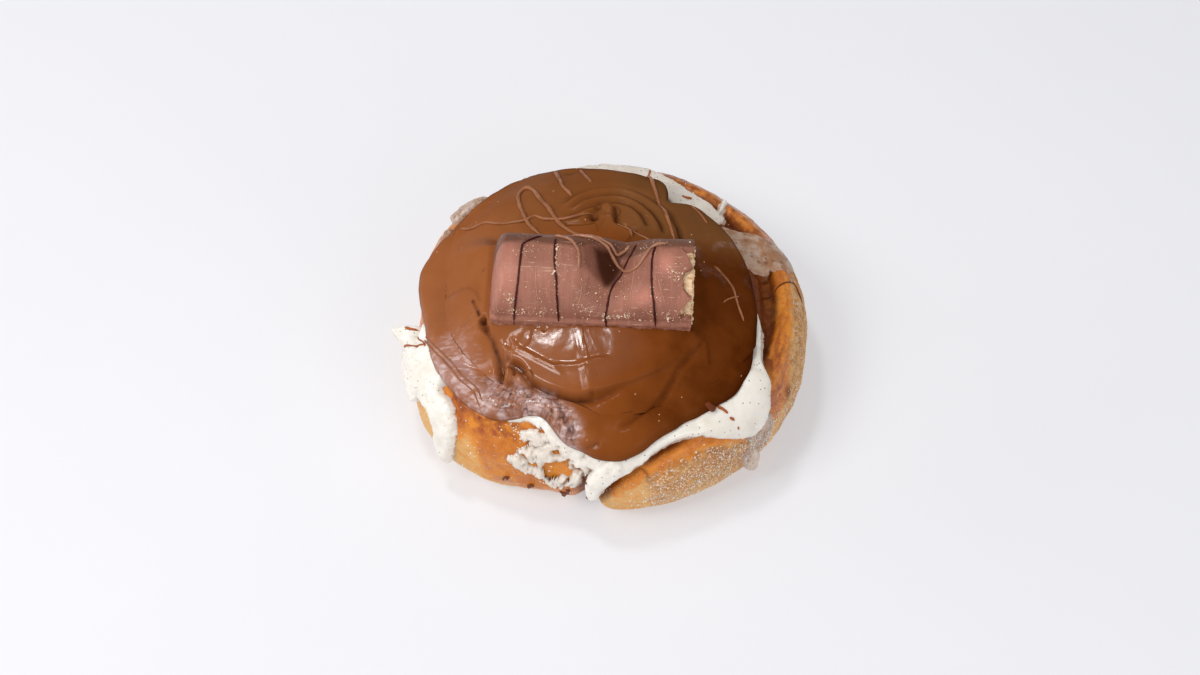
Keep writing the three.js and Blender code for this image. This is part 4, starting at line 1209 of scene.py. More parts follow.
    def coat(self) -> Piece:
        """The moulded coat, with a closed rounded end and a ragged cut end."""
        form, count = self.form, self.stations
        deep, cut = form.coat + self.gap + 0.45, form.length - 0.2
        rows, masks = [], []
        first, middle = form.section(0.0, 0.0, count), np.array([0.0, 6.5])
        for share in np.linspace(0.03, 1, 30)[:-1]:
            ring = self.slice(-0.35 * (1 - share**4), middle + (first - middle) * share)
            ring[:, 0] += 0.5 * self.outer_relief(ring)
            rows.append(ring)
            masks.append(np.zeros(count))
        for x in np.concatenate([np.linspace(0, 2.4, 16), np.arange(2.7, 45.6, 0.33), np.arange(45.7, 52.3, 0.14)]):
            outer, inner = (form.section(float(x), inset, count) for inset in (0.0, deep))
            ring = self.slice(x, outer)
            lost = self.chipped(ring)
            foot = 0.4 * self.noise(ring + 60, 2.0, 3, 0.6) * ease(2.8, 1.4, ring[:, 2])
            lift = (self.outer_relief(ring) + foot) * ease(0, 2, x)
            flat = outer + unit(outer - [0.0, 6.0]) * lift[:, None]
            ring[:, 1:] = flat + (inner - flat) * lost[:, None]
            rows.append(ring)
            masks.append(lost)
        ragged = 0.45 * self.noise(rows[-1] + 30, 1.6, 3, 0.6) - 0.1
        low = form.section(cut, deep, count)
        for inset in np.linspace(0.0, form.coat, 6):
            inner = form.section(cut, float(inset), count)
            ring = self.slice(form.length - 0.15, inner)
            lost = self.chipped(ring)
            ring[:, 1:] = inner + (low - inner) * lost[:, None]
            ring[:, 0] += ragged + 0.18 * self.noise(ring * [0.2, 1, 1] + 50, 0.9, 2)
            rows.append(ring)
            masks.append(np.maximum(lost, 0.15))
        for x in form.length - np.array([0.5, 1.0, 2.0, 3.0, 4.0]):
            outer, inner, low = (form.section(x, inset, count) for inset in (0.0, form.coat, deep + 0.1))
            lost = self.chipped(self.slice(x, outer))
            rows.append(self.slice(x, inner + (low - inner) * lost[:, None]))
            masks.append(np.full(count, 0.3))
        points, faces = closed_grid(rows, flip=True, open_end=True)
        shades = {**self.shades(points), "broken": np.concatenate([*masks, [0.0]])}
        return new_mesh("bar_coat", form.place(points), faces, shades)

    def shades(self, points: Array) -> dict[str, Array]:
        """Where the coat has painted shade on the valley facet and along the back edge, and painted pinkish
        highlights.
        """
        angle, x = self.angle_of(points), points[:, 0]
        wander = self.noise(points + 70, 6, 3)
        outer = ((23.2, 111), (32.8, 114), (35, 94), (31.8, 73), (30, 65), (28.2, 74), (25.2, 85))
        inner = ((26.8, 103), (31.8, 106), (34.4, 93), (31.8, 76), (30.2, 69), (28.6, 83))
        # painted shade on the facet that faces away from the light
        dark = 0.5 * ease(-1.2, 1.0, self.inside(x, angle, outer) + 0.3 * wander)
        dark = dark + 0.46 * ease(-0.9, 0.9, self.inside(x, angle, inner) + 0.2 * wander)
        # pinkish painted highlights on the humps and the left end
        blush_and_highlight = hump(np.hypot(x - 40.5, (angle - 42) * ARC), 3.2) + hump(np.hypot(x - 45.5, (angle - 88) * ARC), 2.2)
        blush_and_highlight = blush_and_highlight + 0.7 * hump(np.hypot(x - 3.5, (angle - 70) * 0.12), 4.5)
        # strip: greyish painted shade along the top and back
        return {"dark": dark, "strip": ease(103, 113, angle + 3 * wander), "blush_and_highlight": np.clip(blush_and_highlight, 0, 1)}

    def core(self) -> Piece:
        """The wafer, with a porous cut face."""
        form, count, start = self.form, 300, 1.6
        inset = form.coat + self.gap
        rows, tone = [], []
        flat = form.section(start, inset, count)
        for share in np.linspace(0.05, 1, 6)[:-1]:
            rows.append(self.slice(start, flat.mean(0) + (flat - flat.mean(0)) * share))
            tone.append(np.zeros(count))
        for x in np.concatenate([np.linspace(start, 44, 24), np.arange(44.4, 52.25, 0.22)]):
            flat = form.section(float(x), inset, count)
            ring = self.slice(x, flat)
            # the tone follows the noise that moves the surface: darker where it sinks in, painted shade in the pores
            pitted = self.noise(ring + 11, 1.3, 3, 0.65)
            ring[:, 1:] += unit(flat - [0.0, 6.0]) * (0.2 * pitted * ease(44, 47, x))[:, None]
            rows.append(ring)
            tone.append(0.5 + 0.5 * pitted)
        flat, middle = form.section(form.length, inset, count), np.array([0.0, 5.6])
        for share in np.linspace(1, 0.03, 46):
            ring = self.slice(form.length, middle + (flat - middle) * share)
            # the tone follows the noise that moves the cut face: darker where it sinks in, painted shade in the pores
            crumbly = self.noise(ring + 23, 1.5, 4, 0.65)
            depth = (1 - share) * np.linalg.norm(flat - middle, axis=1)
            wall = hump(ring[:, 1] - 0.4 * np.sin(ring[:, 2]), 0.5)
            solid = np.maximum(ease(1.5, 1.1, depth), 0.8 * wall)
            ring[:, 0] += 0.1 + 0.5 * crumbly - 0.55 * (1 - solid) * ease(0.9, 1.6, depth)
            rows.append(ring)
            tone.append(0.5 + 0.5 * crumbly)
        points, faces = closed_grid(rows, flip=True)
        values = np.clip(np.concatenate([*tone, [0.0], [0.5]]), 0, 1)
        return new_mesh("bar_core", form.place(points), faces, {"tone": values})

    def strand_mesh(self, paths: Sequence[Line], radius: float, sink: float) -> Mesh:
        """Tubes along lines on the arch.

        Args:
            paths: points of each line, as distance along and arch angle.
            radius: radius of the tubes.
            sink: how deep they sit in the coat.

        Returns:
            Points on the roll and faces.
        """
        strands = []
        for number, path in enumerate(paths):
            line = Stroke(tuple((x, angle * ARC) for x, angle in path)).smooth(0.35)
            x = line[:, 0] + 0.09 * self.noise(flat_points(*line.T) + 31 * number, 1.8, 2)
            angle = line[:, 1] / ARC
            grain = self.noise(flat_points(x, line[:, 1]) + 17 * number, 1.6, 2)
            radii = radius * (1 + 0.3 * grain) * taper(len(line), 0.4, 0.05)
            on = self.form.on_arch(x, np.clip(angle, 0, 180), radii - sink)
            below = angle < 0
            on[below, 1] = -self.form.foot - (radii - sink)[below]
            on[below, 2] = self.form.flange + angle[below] * 0.5
            strands.append((self.form.place(evened(on, 2)), radii))
        return tubes(strands, 10)

    def crumb_places(self, rng: np.random.Generator) -> tuple[Array, Array]:
        """Places and sizes of the light crumbs on the coat.

        Args:
            rng: source of the randomness.

        Returns:
            Middles on the roll, and radii.
        """
        xs, angles, sizes = [], [], []
        for x, angle, dx, da, base, size in self.crumbs:
            count = int(2.6 * base)
            xs.append(rng.normal(x, dx, count))
            angles.append(rng.normal(angle, da, count))
            sizes.append(0.6 * size * rng.lognormal(0, 0.5, count))
        x = np.clip(np.concatenate(xs), 0.8, 51.4)
        angle = np.clip(np.concatenate(angles), 1, 150)
        size = np.concatenate(sizes)
        return self.form.place(self.form.on_arch(x, angle, size * 0.3)), size


@dataclass(frozen=True)
class Scatter:
    """A patch of loose grains on the layers or the dough.

    Each spot is (direction, distance walked, spread in degrees, spread in mm, count).
    """

    name: str
    spots: Line
    size: float
    flat: float = 0.7
    rough: float = 0.22
    sink: float = 0.25


@dataclass
class Grains:
    """Sugar grains and crumbs that lie on the roll."""

    surface: Surface
    seed: int = 5
    lump: Lump = Lump()
    sugar: Scatter = Scatter("sugar_grains", (
        (300, 64, 13, 3.2, 900), (312, 62, 9, 2.6, 700), (288, 67, 8, 4.2, 420), (296, 72, 10, 3, 260),
        (330, 66, 12, 4, 240), (350, 66, 16, 5, 220), (20, 65, 20, 6, 200), (60, 62, 24, 6, 140),
        (100, 66, 60, 6, 240), (226, 62, 8, 4, 70), (190, 68, 20, 6, 60), (246, 60, 8, 4, 60)
    ), 0.105, 0.75, 0.22, 0.1)
    brown: Scatter = Scatter("brown_crumbs", (
        (240.4, 65.8, 0.5, 0.5, 4), (247.6, 65.4, 0.5, 0.5, 6), (257.6, 65.6, 0.6, 0.6, 6), (264.4, 61, 0.8, 3, 7),
        (150, 70, 24, 3, 5)
    ), 0.5, 0.7, 0.28, 0.4)
    icing_bits: Scatter = Scatter("icing_crumbs", (
        (248, 54, 5, 4, 60), (252, 62, 4, 3, 26), (216, 58, 5, 4, 16), (241, 50.6, 4, 0.6, 30), (188, 58, 3, 2.5, 12),
        (60, 42, 12, 3, 26)
    ), 0.17, 0.7, 0.25, 0.2)

    def scattered(self, scatter: Scatter) -> Mesh:
        """Points and triangles of one patch of grains."""
        rng = np.random.default_rng(self.seed + len(scatter.name))
        spots = np.array(scatter.spots)
        rows = np.repeat(spots, spots[:, 4].astype(int), axis=0)
        deg, s = (rng.normal(rows[:, k], rows[:, k + 2]) for k in (0, 1))
        s = np.clip(s, 30, self.surface.form.end(deg) - 1.0)
        size = scatter.size * rng.lognormal(0, 0.4, len(s))
        u, v = unrolled(deg, s)
        points = self.surface.points(u, v, size * (1 - scatter.sink) * 0.7)
        keep = (points[:, 2] > size + 0.1) & (self.surface.chocolate.inward(u, v) < -0.4)
        return self.lump.heap(points[keep], size[keep], rng, scatter.flat, scatter.rough)


# Finishes


def tint(red: int, green: int, blue: int) -> tuple[float, float, float, float]:
    """Linear colour from one given in screen values of 0 to 255."""
    def channel(value: float) -> float:
        """One linear channel."""
        share = value / 255
        return share / 12.92 if share <= 0.04045 else ((share + 0.055) / 1.055) ** 2.4
    return channel(red), channel(green), channel(blue), 1.0


class Effect(Enum):
    """Surface effects that several finishes share, each one a node group."""

    MOTTLE = "roll_mottle"
    SPECKS = "roll_specks"
    RELIEF = "roll_relief"
    STREAKS = "roll_streaks"


def feed(tree: Tree, socket: Socket, given: Value | Point) -> None:
    """Set an input, or link it to the socket that it is given."""
    if isinstance(given, Socket):
        tree.links.new(given, socket)
    else:
        socket.default_value = given


def placed(tree: Tree, kind: str, inputs: dict[str | int, Value | Point] | None = None,
           **settings: str | bool | Tree) -> bpy.types.Node:
    """Add a node.

    Args:
        tree: where it goes.
        kind: its type, without the word that they all start with.
        inputs: numbers, colours or sockets for its inputs, by name or place.
        settings: the node's own settings.

    Returns:
        The node.
    """
    node = tree.nodes.new("ShaderNode" + kind)
    for name, value in settings.items():
        setattr(node, name, value)
    for name, given in (inputs or {}).items():
        feed(tree, node.inputs[name], given)
    return node


def combined(tree: Tree, operation: str, *values: Value, clamp: bool = False) -> Socket:
    """Result of a math node."""
    return placed(tree, "Math", dict(enumerate(values)), operation=operation, use_clamp=clamp).outputs[0]


def spanned(tree: Tree, value: Socket, *limits: Value) -> Socket:
    """Smoothly mapped and clamped value, from low and high limits to 0 and 1 or two further limits."""
    names = ("From Min", "From Max", "To Min", "To Max")
    inputs = {"Value": value, **dict(zip(names, limits))}
    return placed(tree, "MapRange", inputs, interpolation_type="SMOOTHSTEP").outputs["Result"]


def grainy(tree: Tree, scale: Value, **inputs: Value) -> Socket:
    """Noise over the piece's own coordinates, with its scale in features per metre."""
    place = placed(tree, "TexCoord").outputs["Object"]
    values = {"Vector": place, "Scale": scale, **{name.title(): given for name, given in inputs.items()}}
    return placed(tree, "TexNoise", values).outputs["Fac"]


class EffectLibrary:
    """Builds each shared effect once, for materials to place."""

    def __init__(self) -> None:
        """Build the groups."""
        self.groups = {
            Effect.MOTTLE: self.group(Effect.MOTTLE, self.mottle, Scale=120.0, Low=0.35, High=0.65),
            Effect.SPECKS: self.group(Effect.SPECKS, self.specks, Scale=500.0, Size=0.2, Share=0.4),
            Effect.RELIEF: self.group(Effect.RELIEF, self.relief, Coarse=300.0, Fine=1500.0, Grit=0.4),
            Effect.STREAKS: self.group(Effect.STREAKS, self.streaks, Along=100.0, Across=900.0, Low=0.5, High=0.7)}

    def group(self, effect: Effect, fill: Callable[..., Socket], **inputs: float) -> Tree:
        """Make one group.

        Args:
            effect: which effect it is.
            fill: adds its nodes to the tree, between the group's inputs and the result that it returns.
            inputs: the group's inputs, with their usual values.

        Returns:
            The group.
        """
        tree = bpy.data.node_groups.new(effect.value, "ShaderNodeTree")
        for name, value in inputs.items():
            socket = tree.interface.new_socket(name=name, in_out="INPUT", socket_type="NodeSocketFloat")
            socket.default_value = value
        tree.interface.new_socket(name="Value", in_out="OUTPUT", socket_type="NodeSocketFloat")
        result = fill(tree, tree.nodes.new("NodeGroupInput").outputs)
        tree.links.new(result, tree.nodes.new("NodeGroupOutput").inputs["Value"])
        return tree

    def mottle(self, tree: Tree, entry: Sequence[Socket]) -> Socket:
        """Soft uneven patches, 0 to 1."""
        noise = grainy(tree, entry["Scale"], detail=5.0, roughness=0.6)
        return spanned(tree, noise, entry["Low"], entry["High"])

    def streaks(self, tree: Tree, entry: Sequence[Socket]) -> Socket:
        """Drawn-out marks, with separate scales along the bar and across it."""
        scales = placed(tree, "CombineXYZ", {"X": entry["Along"], "Y": entry["Across"], "Z": entry["Across"]})
        place = placed(tree, "TexCoord").outputs["Object"]
        drawn = placed(tree, "VectorMath", {0: place, 1: scales.outputs["Vector"]}, operation="MULTIPLY")
        noise = placed(tree, "TexNoise", {"Vector": drawn.outputs["Vector"], "Scale": 1.0, "Detail": 4.0})
        return spanned(tree, noise.outputs["Fac"], entry["Low"], entry["High"])

    def specks(self, tree: Tree, entry: Sequence[Socket]) -> Socket:
        """Small separate specks, 1 on a speck."""
        place = placed(tree, "TexCoord").outputs["Object"]
        cells = placed(tree, "TexVoronoi", {"Vector": place, "Scale": entry["Scale"]}).outputs
        draw = placed(tree, "SeparateColor", {"Color": cells["Color"]}).outputs["Red"]
        close = combined(tree, "LESS_THAN", cells["Distance"], entry["Size"])
        return combined(tree, "MULTIPLY", close, combined(tree, "LESS_THAN", draw, entry["Share"]))

    def relief(self, tree: Tree, entry: Sequence[Socket]) -> Socket:
        """Fine height of a rough food surface."""
        coarse = grainy(tree, entry["Coarse"], detail=3.0, roughness=0.55)
        fine = grainy(tree, entry["Fine"], detail=4.0, roughness=0.65)
        return combined(tree, "MULTIPLY_ADD", fine, entry["Grit"], coarse)


class Paint:
    """One material in the making: a Principled shader with layers of colour under it."""

    def __init__(self, name: str, library: EffectLibrary) -> None:
        """Start a material.

        Args:
            name: name of the material.
            library: where the shared effects come from.
        """
        self.material = bpy.data.materials.new(name)
        self.material.use_nodes = True
        self.tree = self.material.node_tree
        self.library = library
        self.shader = next(node for node in self.tree.nodes if node.type == "BSDF_PRINCIPLED")

    def set(self, **values: Value | Point) -> None:
        """Set or feed the shader's own inputs; underscores stand for spaces."""
        for name, given in values.items():
            feed(self.tree, self.shader.inputs[name.replace("_", " ").title().replace("Ior", "IOR")], given)

    def mask(self, name: str) -> Socket:
        """Value painted on the mesh under a name."""
        return placed(self.tree, "Attribute", attribute_name=name).outputs["Fac"]

    def effect(self, effect: Effect, *values: float) -> Socket:
        """Place a shared effect with its own numbers, in the order of the group's inputs."""
        return placed(self.tree, "Group", dict(enumerate(values)), node_tree=self.library.groups[effect]).outputs[0]

    def mottle(self, scale: float, low: float, high: float) -> Socket:
        """Soft uneven patches."""
        return self.effect(Effect.MOTTLE, scale, low, high)

    def specks(self, scale: float, size: float, share: float) -> Socket:
        """Small specks, with the share of them that shows."""
        return self.effect(Effect.SPECKS, scale, size, share)

    def streaks(self, along: float, across: float, low: float, high: float) -> Socket:
        """Drawn-out marks."""
        return self.effect(Effect.STREAKS, along, across, low, high)

    def times(self, first: Value, *others: Value) -> Value:
        """Product of values."""
        for other in others:
            first = combined(self.tree, "MULTIPLY", first, other)
        return first

    def plus(self, a: Value, b: Value, clamp: bool = False) -> Socket:
        """Sum of two values."""
        return combined(self.tree, "ADD", a, b, clamp=clamp)

    def less(self, a: Value, b: Value, clamp: bool = False) -> Socket:
        """Difference of two values."""
        return combined(self.tree, "SUBTRACT", a, b, clamp=clamp)

    def span(self, value: Socket, *limits: float) -> Socket:
        """Smoothly mapped and clamped value."""
        return spanned(self.tree, value, *limits)

    def layers(self, colour: Point | Socket, *coats: tuple[Point | Value, ...]) -> Socket:
        """Colours laid over one another.

        Args:
            colour: the lowest one.
            coats: each colour above it, followed by the values whose product is its share.

        Returns:
            The colour on top.
        """
        for above, *share in coats:
            inputs = {MIX_SHARE: self.times(*share), MIX_BELOW: colour, MIX_ABOVE: above}
            colour = placed(self.tree, "Mix", inputs, data_type="RGBA").outputs[MIX_COLOUR]
        return colour

    def bump(self, depth: float, strength: float, coarse: float, fine: float, grit: float) -> None:
        """Fine relief, with its depth in mm and its scales in features per metre."""
        height = self.effect(Effect.RELIEF, coarse, fine, grit)
        node = placed(self.tree, "Bump", {"Strength": strength, "Distance": depth * MM, "Height": height})
        self.set(normal=node.outputs["Normal"])


class Finish:
    """One kind of surface; each kind says how it is painted."""

    name: str

    def build(self, library: EffectLibrary) -> Material:
        """Make the material."""
        paint = Paint(self.name, library)
        self.dress(paint)
        return paint.material

    def dress(self, paint: Paint) -> None:
        """Paint the material."""
        raise NotImplementedError


@dataclass(frozen=True)
class CrustFinish(Finish):
    """Baked dough: pale sides, golden shoulders, darker in the seam by its depth, painted shade in a crack, sugar
    dust.
    """

    name: str = "baked_dough"
    pale: Point = tint(230, 180, 114)
    golden: Point = tint(224, 140, 46)
    brown: Point = tint(190, 103, 22)
    red: Point = tint(152, 64, 30)
    # dark colour for stains, for the seam and for the painted shade of a crack
    stain_and_shade: Point = tint(98, 42, 16)
    sand: Point = tint(170, 118, 70)
    sugar: Point = tint(250, 240, 222)

    def dress(self, paint: Paint) -> None:
        """Paint the material."""
        bake, stain_and_shade, dust, red = (paint.mask(name) for name in ("bake", "stain_and_shade", "dust", "red"))
        patches, blots = paint.mottle(110, 0.32, 0.68), paint.mottle(330, 0.38, 0.64)
        fine = paint.mottle(900, 0.4, 0.66)
        uneven = paint.plus(paint.times(paint.less(patches, 0.5), 0.3), paint.times(paint.less(blots, 0.5), 0.22))
        level = paint.plus(bake, uneven)
        wet = paint.less(paint.span(level, 0.35, 0.9, 0, 0.34), paint.times(stain_and_shade, 0.3))
        dull = paint.plus(paint.span(level, 0.25, 0.8, 0.55, 0.24), paint.times(dust, 0.3))
        clumps = paint.times(paint.span(blots, 0, 1, 0.2, 1), paint.span(patches, 0, 1, 0.6, 1))
        colour = paint.layers(
            self.pale, (self.golden, paint.span(level, 0.05, 0.6)),
            (self.brown, paint.span(level, 0.55, 1.1, 0, 0.85)),
            (self.red, red, paint.span(blots, 0, 1, 0.45, 0.95)),
            (self.brown, fine, paint.span(dust, 0.1, 0.9, 0.16, 0.6)),
            (self.sand, dust, paint.span(fine, 0, 1, 0.85, 0.4)),
            (self.sugar, paint.specks(1550, 0.43, 0.85), dust, clumps),
            (self.stain_and_shade, paint.specks(420, 0.16, 0.25), 0.3), (self.stain_and_shade, stain_and_shade, 0.92))
        paint.set(base_color=colour, coat_weight=paint.less(wet, dust, clamp=True), coat_roughness=0.22,
                  roughness=paint.plus(dull, paint.times(stain_and_shade, 0.2)), specular_ior_level=0.22,
                  subsurface_weight=0.14, subsurface_radius=(1.0, 0.45, 0.2), subsurface_scale=0.0016)
        paint.bump(0.5, 1, 420, 1500, 0.7)


@dataclass(frozen=True)
class IcingFinish(Finish):
    """White icing, glossy where it pooled, see-through and bubbly where it is a film."""

    name: str = "white_icing"
    white: Point = tint(240, 235, 227)
    shade: Point = tint(214, 205, 189)
    film: Point = tint(158, 112, 78)
    pore: Point = tint(100, 66, 46)
    speck: Point = tint(92, 66, 50)

    def dress(self, paint: Paint) -> None:
        """Paint the material."""
        thin, depth = paint.mask("thin"), paint.mask("depth")
        cloud = paint.mottle(170, 0.3, 0.75)
        colour = paint.layers(
            self.white, (self.shade, cloud, 0.55), (self.film, paint.span(depth, 0.7, 0, 0, 0.5)),
            (self.film, thin, paint.span(paint.mottle(260, 0.36, 0.6), 0, 1, 0.72, 1)),
            (self.pore, paint.specks(520, 0.3, 0.45), thin, 0.55), (self.speck, paint.specks(700, 0.13, 0.8), 0.85))
        paint.set(base_color=colour, roughness=paint.span(cloud, 0, 1, 0.3, 0.48), specular_ior_level=0.5,
                  subsurface_weight=0.3, subsurface_radius=(1.0, 0.8, 0.6), subsurface_scale=0.002,
                  coat_weight=0.15, coat_roughness=0.2)
        paint.bump(0.12, 0.5, 420, 1500, 0.2)


@dataclass(frozen=True)
class ChocolateFinish(Finish):
    """Poured milk chocolate with a soft gloss and a dull pale bloom in places, with painted sheen over the bloom and
    painted shade to the right, in creases and on edges seen side-on.
    """

    name: str = "poured_chocolate"
    # light, base and deep are laid by the shade mask: painted shade, lit on the left and deep on the right
    light: Point = tint(152, 90, 50)
    base: Point = tint(124, 65, 24)
    deep: Point = tint(54, 15, 0)
    umber: Point = tint(120, 82, 48)
    bloom_and_sheen: Point = tint(158, 120, 114)
    # painted sheen: a highlight colour laid over the bloom
    painted_sheen: Point = tint(222, 200, 198)
    # colour of the painted shade in creases, pits and wrinkle lines
    crease_shade: Point = tint(54, 20, 10)
    # painted shade laid on edges seen side-on
    edge: Point = tint(66, 26, 5)
    crumb: Point = tint(222, 196, 160)

    def dress(self, paint: Paint) -> None:
        """Paint the material."""
        bloom_and_sheen, gloss = paint.mask("bloom_and_sheen"), paint.mask("gloss")
        drift = paint.mottle(38, 0.3, 0.7)
        # the painted shade mask, with some random drift
        shade = paint.plus(paint.mask("shade"), paint.times(paint.less(drift, 0.5), 0.2))
        # how far the surface turns away from the view; it lays the painted edge shade
        away = placed(paint.tree, "LayerWeight").outputs["Facing"]
        colour = paint.layers(
            self.light, (self.base, paint.span(shade, 0, 0.5)), (self.deep, paint.span(shade, 0.45, 1)),
            (self.bloom_and_sheen, bloom_and_sheen, paint.span(paint.mottle(420, 0.38, 0.68), 0, 1, 0.35, 0.95)),
            (self.umber, paint.mask("umber"), 0.6),
            # painted sheen and painted highlights over the bloom
            (self.painted_sheen, bloom_and_sheen, paint.span(paint.mottle(150, 0.42, 0.66), 0, 1, 0.12, 0.42)),
            (self.painted_sheen, bloom_and_sheen, paint.streaks(330, 900, 0.5, 0.6), 0.5),
            # the last layer here is painted shade in creases, pits and wrinkle lines
            (self.edge, paint.span(away, 0.5, 0.95, 0, 0.5)), (self.crease_shade, paint.mask("crease_shade")),
            (self.crumb, paint.specks(330, 0.055, 0.45), 0.7))
        coat = paint.plus(paint.times(gloss, 0.95), paint.times(bloom_and_sheen, 0.7))
        coat = paint.plus(coat, paint.span(shade, 0.2, 0.9, 0.14, 0), clamp=True)
        paint.set(base_color=colour, roughness=paint.less(0.42, paint.times(gloss, 0.14)), coat_weight=coat,
                  specular_ior_level=0.0, coat_roughness=0.17)
        paint.bump(0.25, 0.5, 90, 900, 0.06)


@dataclass(frozen=True)
class ThreadFinish(Finish):
    """Set chocolate threads and lines."""

    name: str
    colour: Point
    deep: Point
    roughness: float = 0.38
    shine: float = 0.5

    def dress(self, paint: Paint) -> None:
        """Paint the material."""
        drift = paint.mottle(260, 0.35, 0.7)
        paint.set(base_color=paint.layers(self.colour, (self.deep, drift, 0.6)), roughness=self.roughness,
                  specular_ior_level=self.shine)
        paint.bump(0.08, 0.6, 700, 2400, 0.3)


@dataclass(frozen=True)
class CoatFinish(Finish):
    """Moulded coat of the bar: satin milk chocolate, scuffed, with painted shade along the back edge and on the
    valley facet, and painted pinkish highlights.
    """

    name: str = "bar_coat"
    base: Point = tint(160, 108, 90)
    deep: Point = tint(122, 76, 60)
    # pinkish colour, for painted highlights and for streaks
    blush_and_highlight: Point = tint(212, 140, 122)
    # greyish painted shade along the back edge
    strip: Point = tint(92, 60, 44)
    # painted shade of the valley facet
    dark: Point = tint(46, 12, 0)
    scuff: Point = tint(204, 160, 138)
    broken: Point = tint(150, 96, 70)

    def dress(self, paint: Paint) -> None:
        """Paint the material."""
        cloud, dark = paint.mottle(90, 0.3, 0.7), paint.mask("dark")
        colour = paint.layers(
            self.base, (self.deep, cloud, 0.6), (self.blush_and_highlight, paint.mask("blush_and_highlight"), 0.6),
            (self.blush_and_highlight, paint.streaks(1100, 110, 0.4, 0.72), 0.14),
            (self.deep, paint.streaks(2600, 260, 0.45, 0.7), 0.12), (self.strip, paint.mask("strip"), 0.8),
            (self.scuff, paint.streaks(170, 1500, 0.64, 0.7), 0.55),
            (self.scuff, paint.mottle(1300, 0.64, 0.71), 0.6), (self.dark, dark, 0.95),
            (self.broken, paint.mask("broken"), 0.7))
        paint.set(base_color=colour, roughness=paint.span(cloud, 0, 1, 0.42, 0.55), specular_ior_level=0.04,
                  coat_weight=paint.span(dark, 0, 0.8, 0.3, 0), coat_roughness=0.4)
        paint.bump(0.12, 0.6, 500, 2600, 0.3)


@dataclass(frozen=True)
class CrumbFinish(Finish):
    """Dry crumbly matter: wafer, crumbs, sugar or icing bits."""

    name: str
    light: Point
    dark: Point
    roughness: float = 0.75
    glow: float = 0.15
    toned: bool = False

    def dress(self, paint: Paint) -> None:
        """Paint the material."""
        colour = paint.layers(self.light, (self.dark, paint.mottle(650, 0.35, 0.7), 0.5))
        if self.toned:
            # for the wafer, the tone mask lays painted shade in the pores
            colour = paint.layers(self.dark, (colour, paint.span(paint.mask("tone"), 0.1, 0.55)))
        paint.set(base_color=colour, roughness=self.roughness, subsurface_weight=self.glow, subsurface_scale=0.001)
        paint.bump(0.15, 0.7, 1200, 3500, 0.5)


@dataclass(frozen=True)
class FloorFinish(Finish):
    """Plain pale floor."""

    name: str = "pale_floor"
    colour: Point = tint(182, 182, 185)
    patch: Point = tint(177, 177, 181)
    glow: float = 0.44

    def dress(self, paint: Paint) -> None:
        """Paint the material."""
        paint.set(base_color=paint.layers(self.colour, (self.patch, paint.mottle(6, 0.3, 0.7), 0.5)), roughness=0.9,
                  specular_ior_level=0.2, emission_color=tint(240, 241, 246), emission_strength=self.glow)


@dataclass(frozen=True)
class Studio:
    """Pale floor, soft light and the camera at the photograph's angle."""

    target: Point = (0.0, 0.0, 0.018)
    distance: float = 0.65
    elevation: float = 52.0
    lens: float = 72.33
    shift: Point = (-0.00583, -0.01375)
    lamps: tuple[tuple[str, Point, float, float], ...] = (
        ("key", (-0.42, -0.26, 0.62), 0.34, 3.0),
        ("top", (-0.20, 0.13, 0.86), 0.12, 1.7),
        ("side", (-0.92, 0.14, 0.24), 0.5, 1.4),
        ("fill", (0.45, -0.70, 0.45), 0.6, 2.4),
    )
    sky: float = 0.38

    def build(self, library: EffectLibrary) -> None:
        """Make the floor, the lights and the camera."""
        side, scene = 3.0, bpy.context.scene
        mesh = bpy.data.meshes.new("floor")
        mesh.from_pydata([(-side, -side, 0), (side, -side, 0), (side, side, 0), (-side, side, 0)], [], [(0, 1, 2, 3)])
        floor = linked("floor", mesh)
        floor.data.materials.append(FloorFinish().build(library))
        world = bpy.data.worlds.new("studio")
        world.use_nodes = True
        back = world.node_tree.nodes["Background"]
        back.inputs["Color"].default_value = (1.0, 0.985, 0.965, 1)
        back.inputs["Strength"].default_value = self.sky
        scene.world = world
        for lamp in self.lamps:
            self.lamp(*lamp)
        scene.view_settings.view_transform = "Standard"
        eye = bpy.data.cameras.new("camera")
        eye.lens, eye.sensor_width, eye.clip_start = self.lens, 36.0, 0.01
        eye.shift_x, eye.shift_y = self.shift
        camera = linked("camera", eye)
        tilt = math.radians(self.elevation)
        camera.location = np.add(self.target, [0, -self.distance * math.cos(tilt), self.distance * math.sin(tilt)])
        camera.rotation_euler = (math.radians(90) - tilt, 0, 0)
        scene.camera = camera

    def lamp(self, name: str, place: Point, size: float, power: float) -> None:
        """Soft square light that faces the roll."""
        light = bpy.data.lights.new(name, "AREA")
        light.energy, light.size = power, size
        lamp = linked(name, light)
        lamp.location = place
        away = unit(np.subtract(place, self.target))
        lamp.rotation_euler = (math.acos(away[2]), 0, math.atan2(away[1], away[0]) + math.pi / 2)


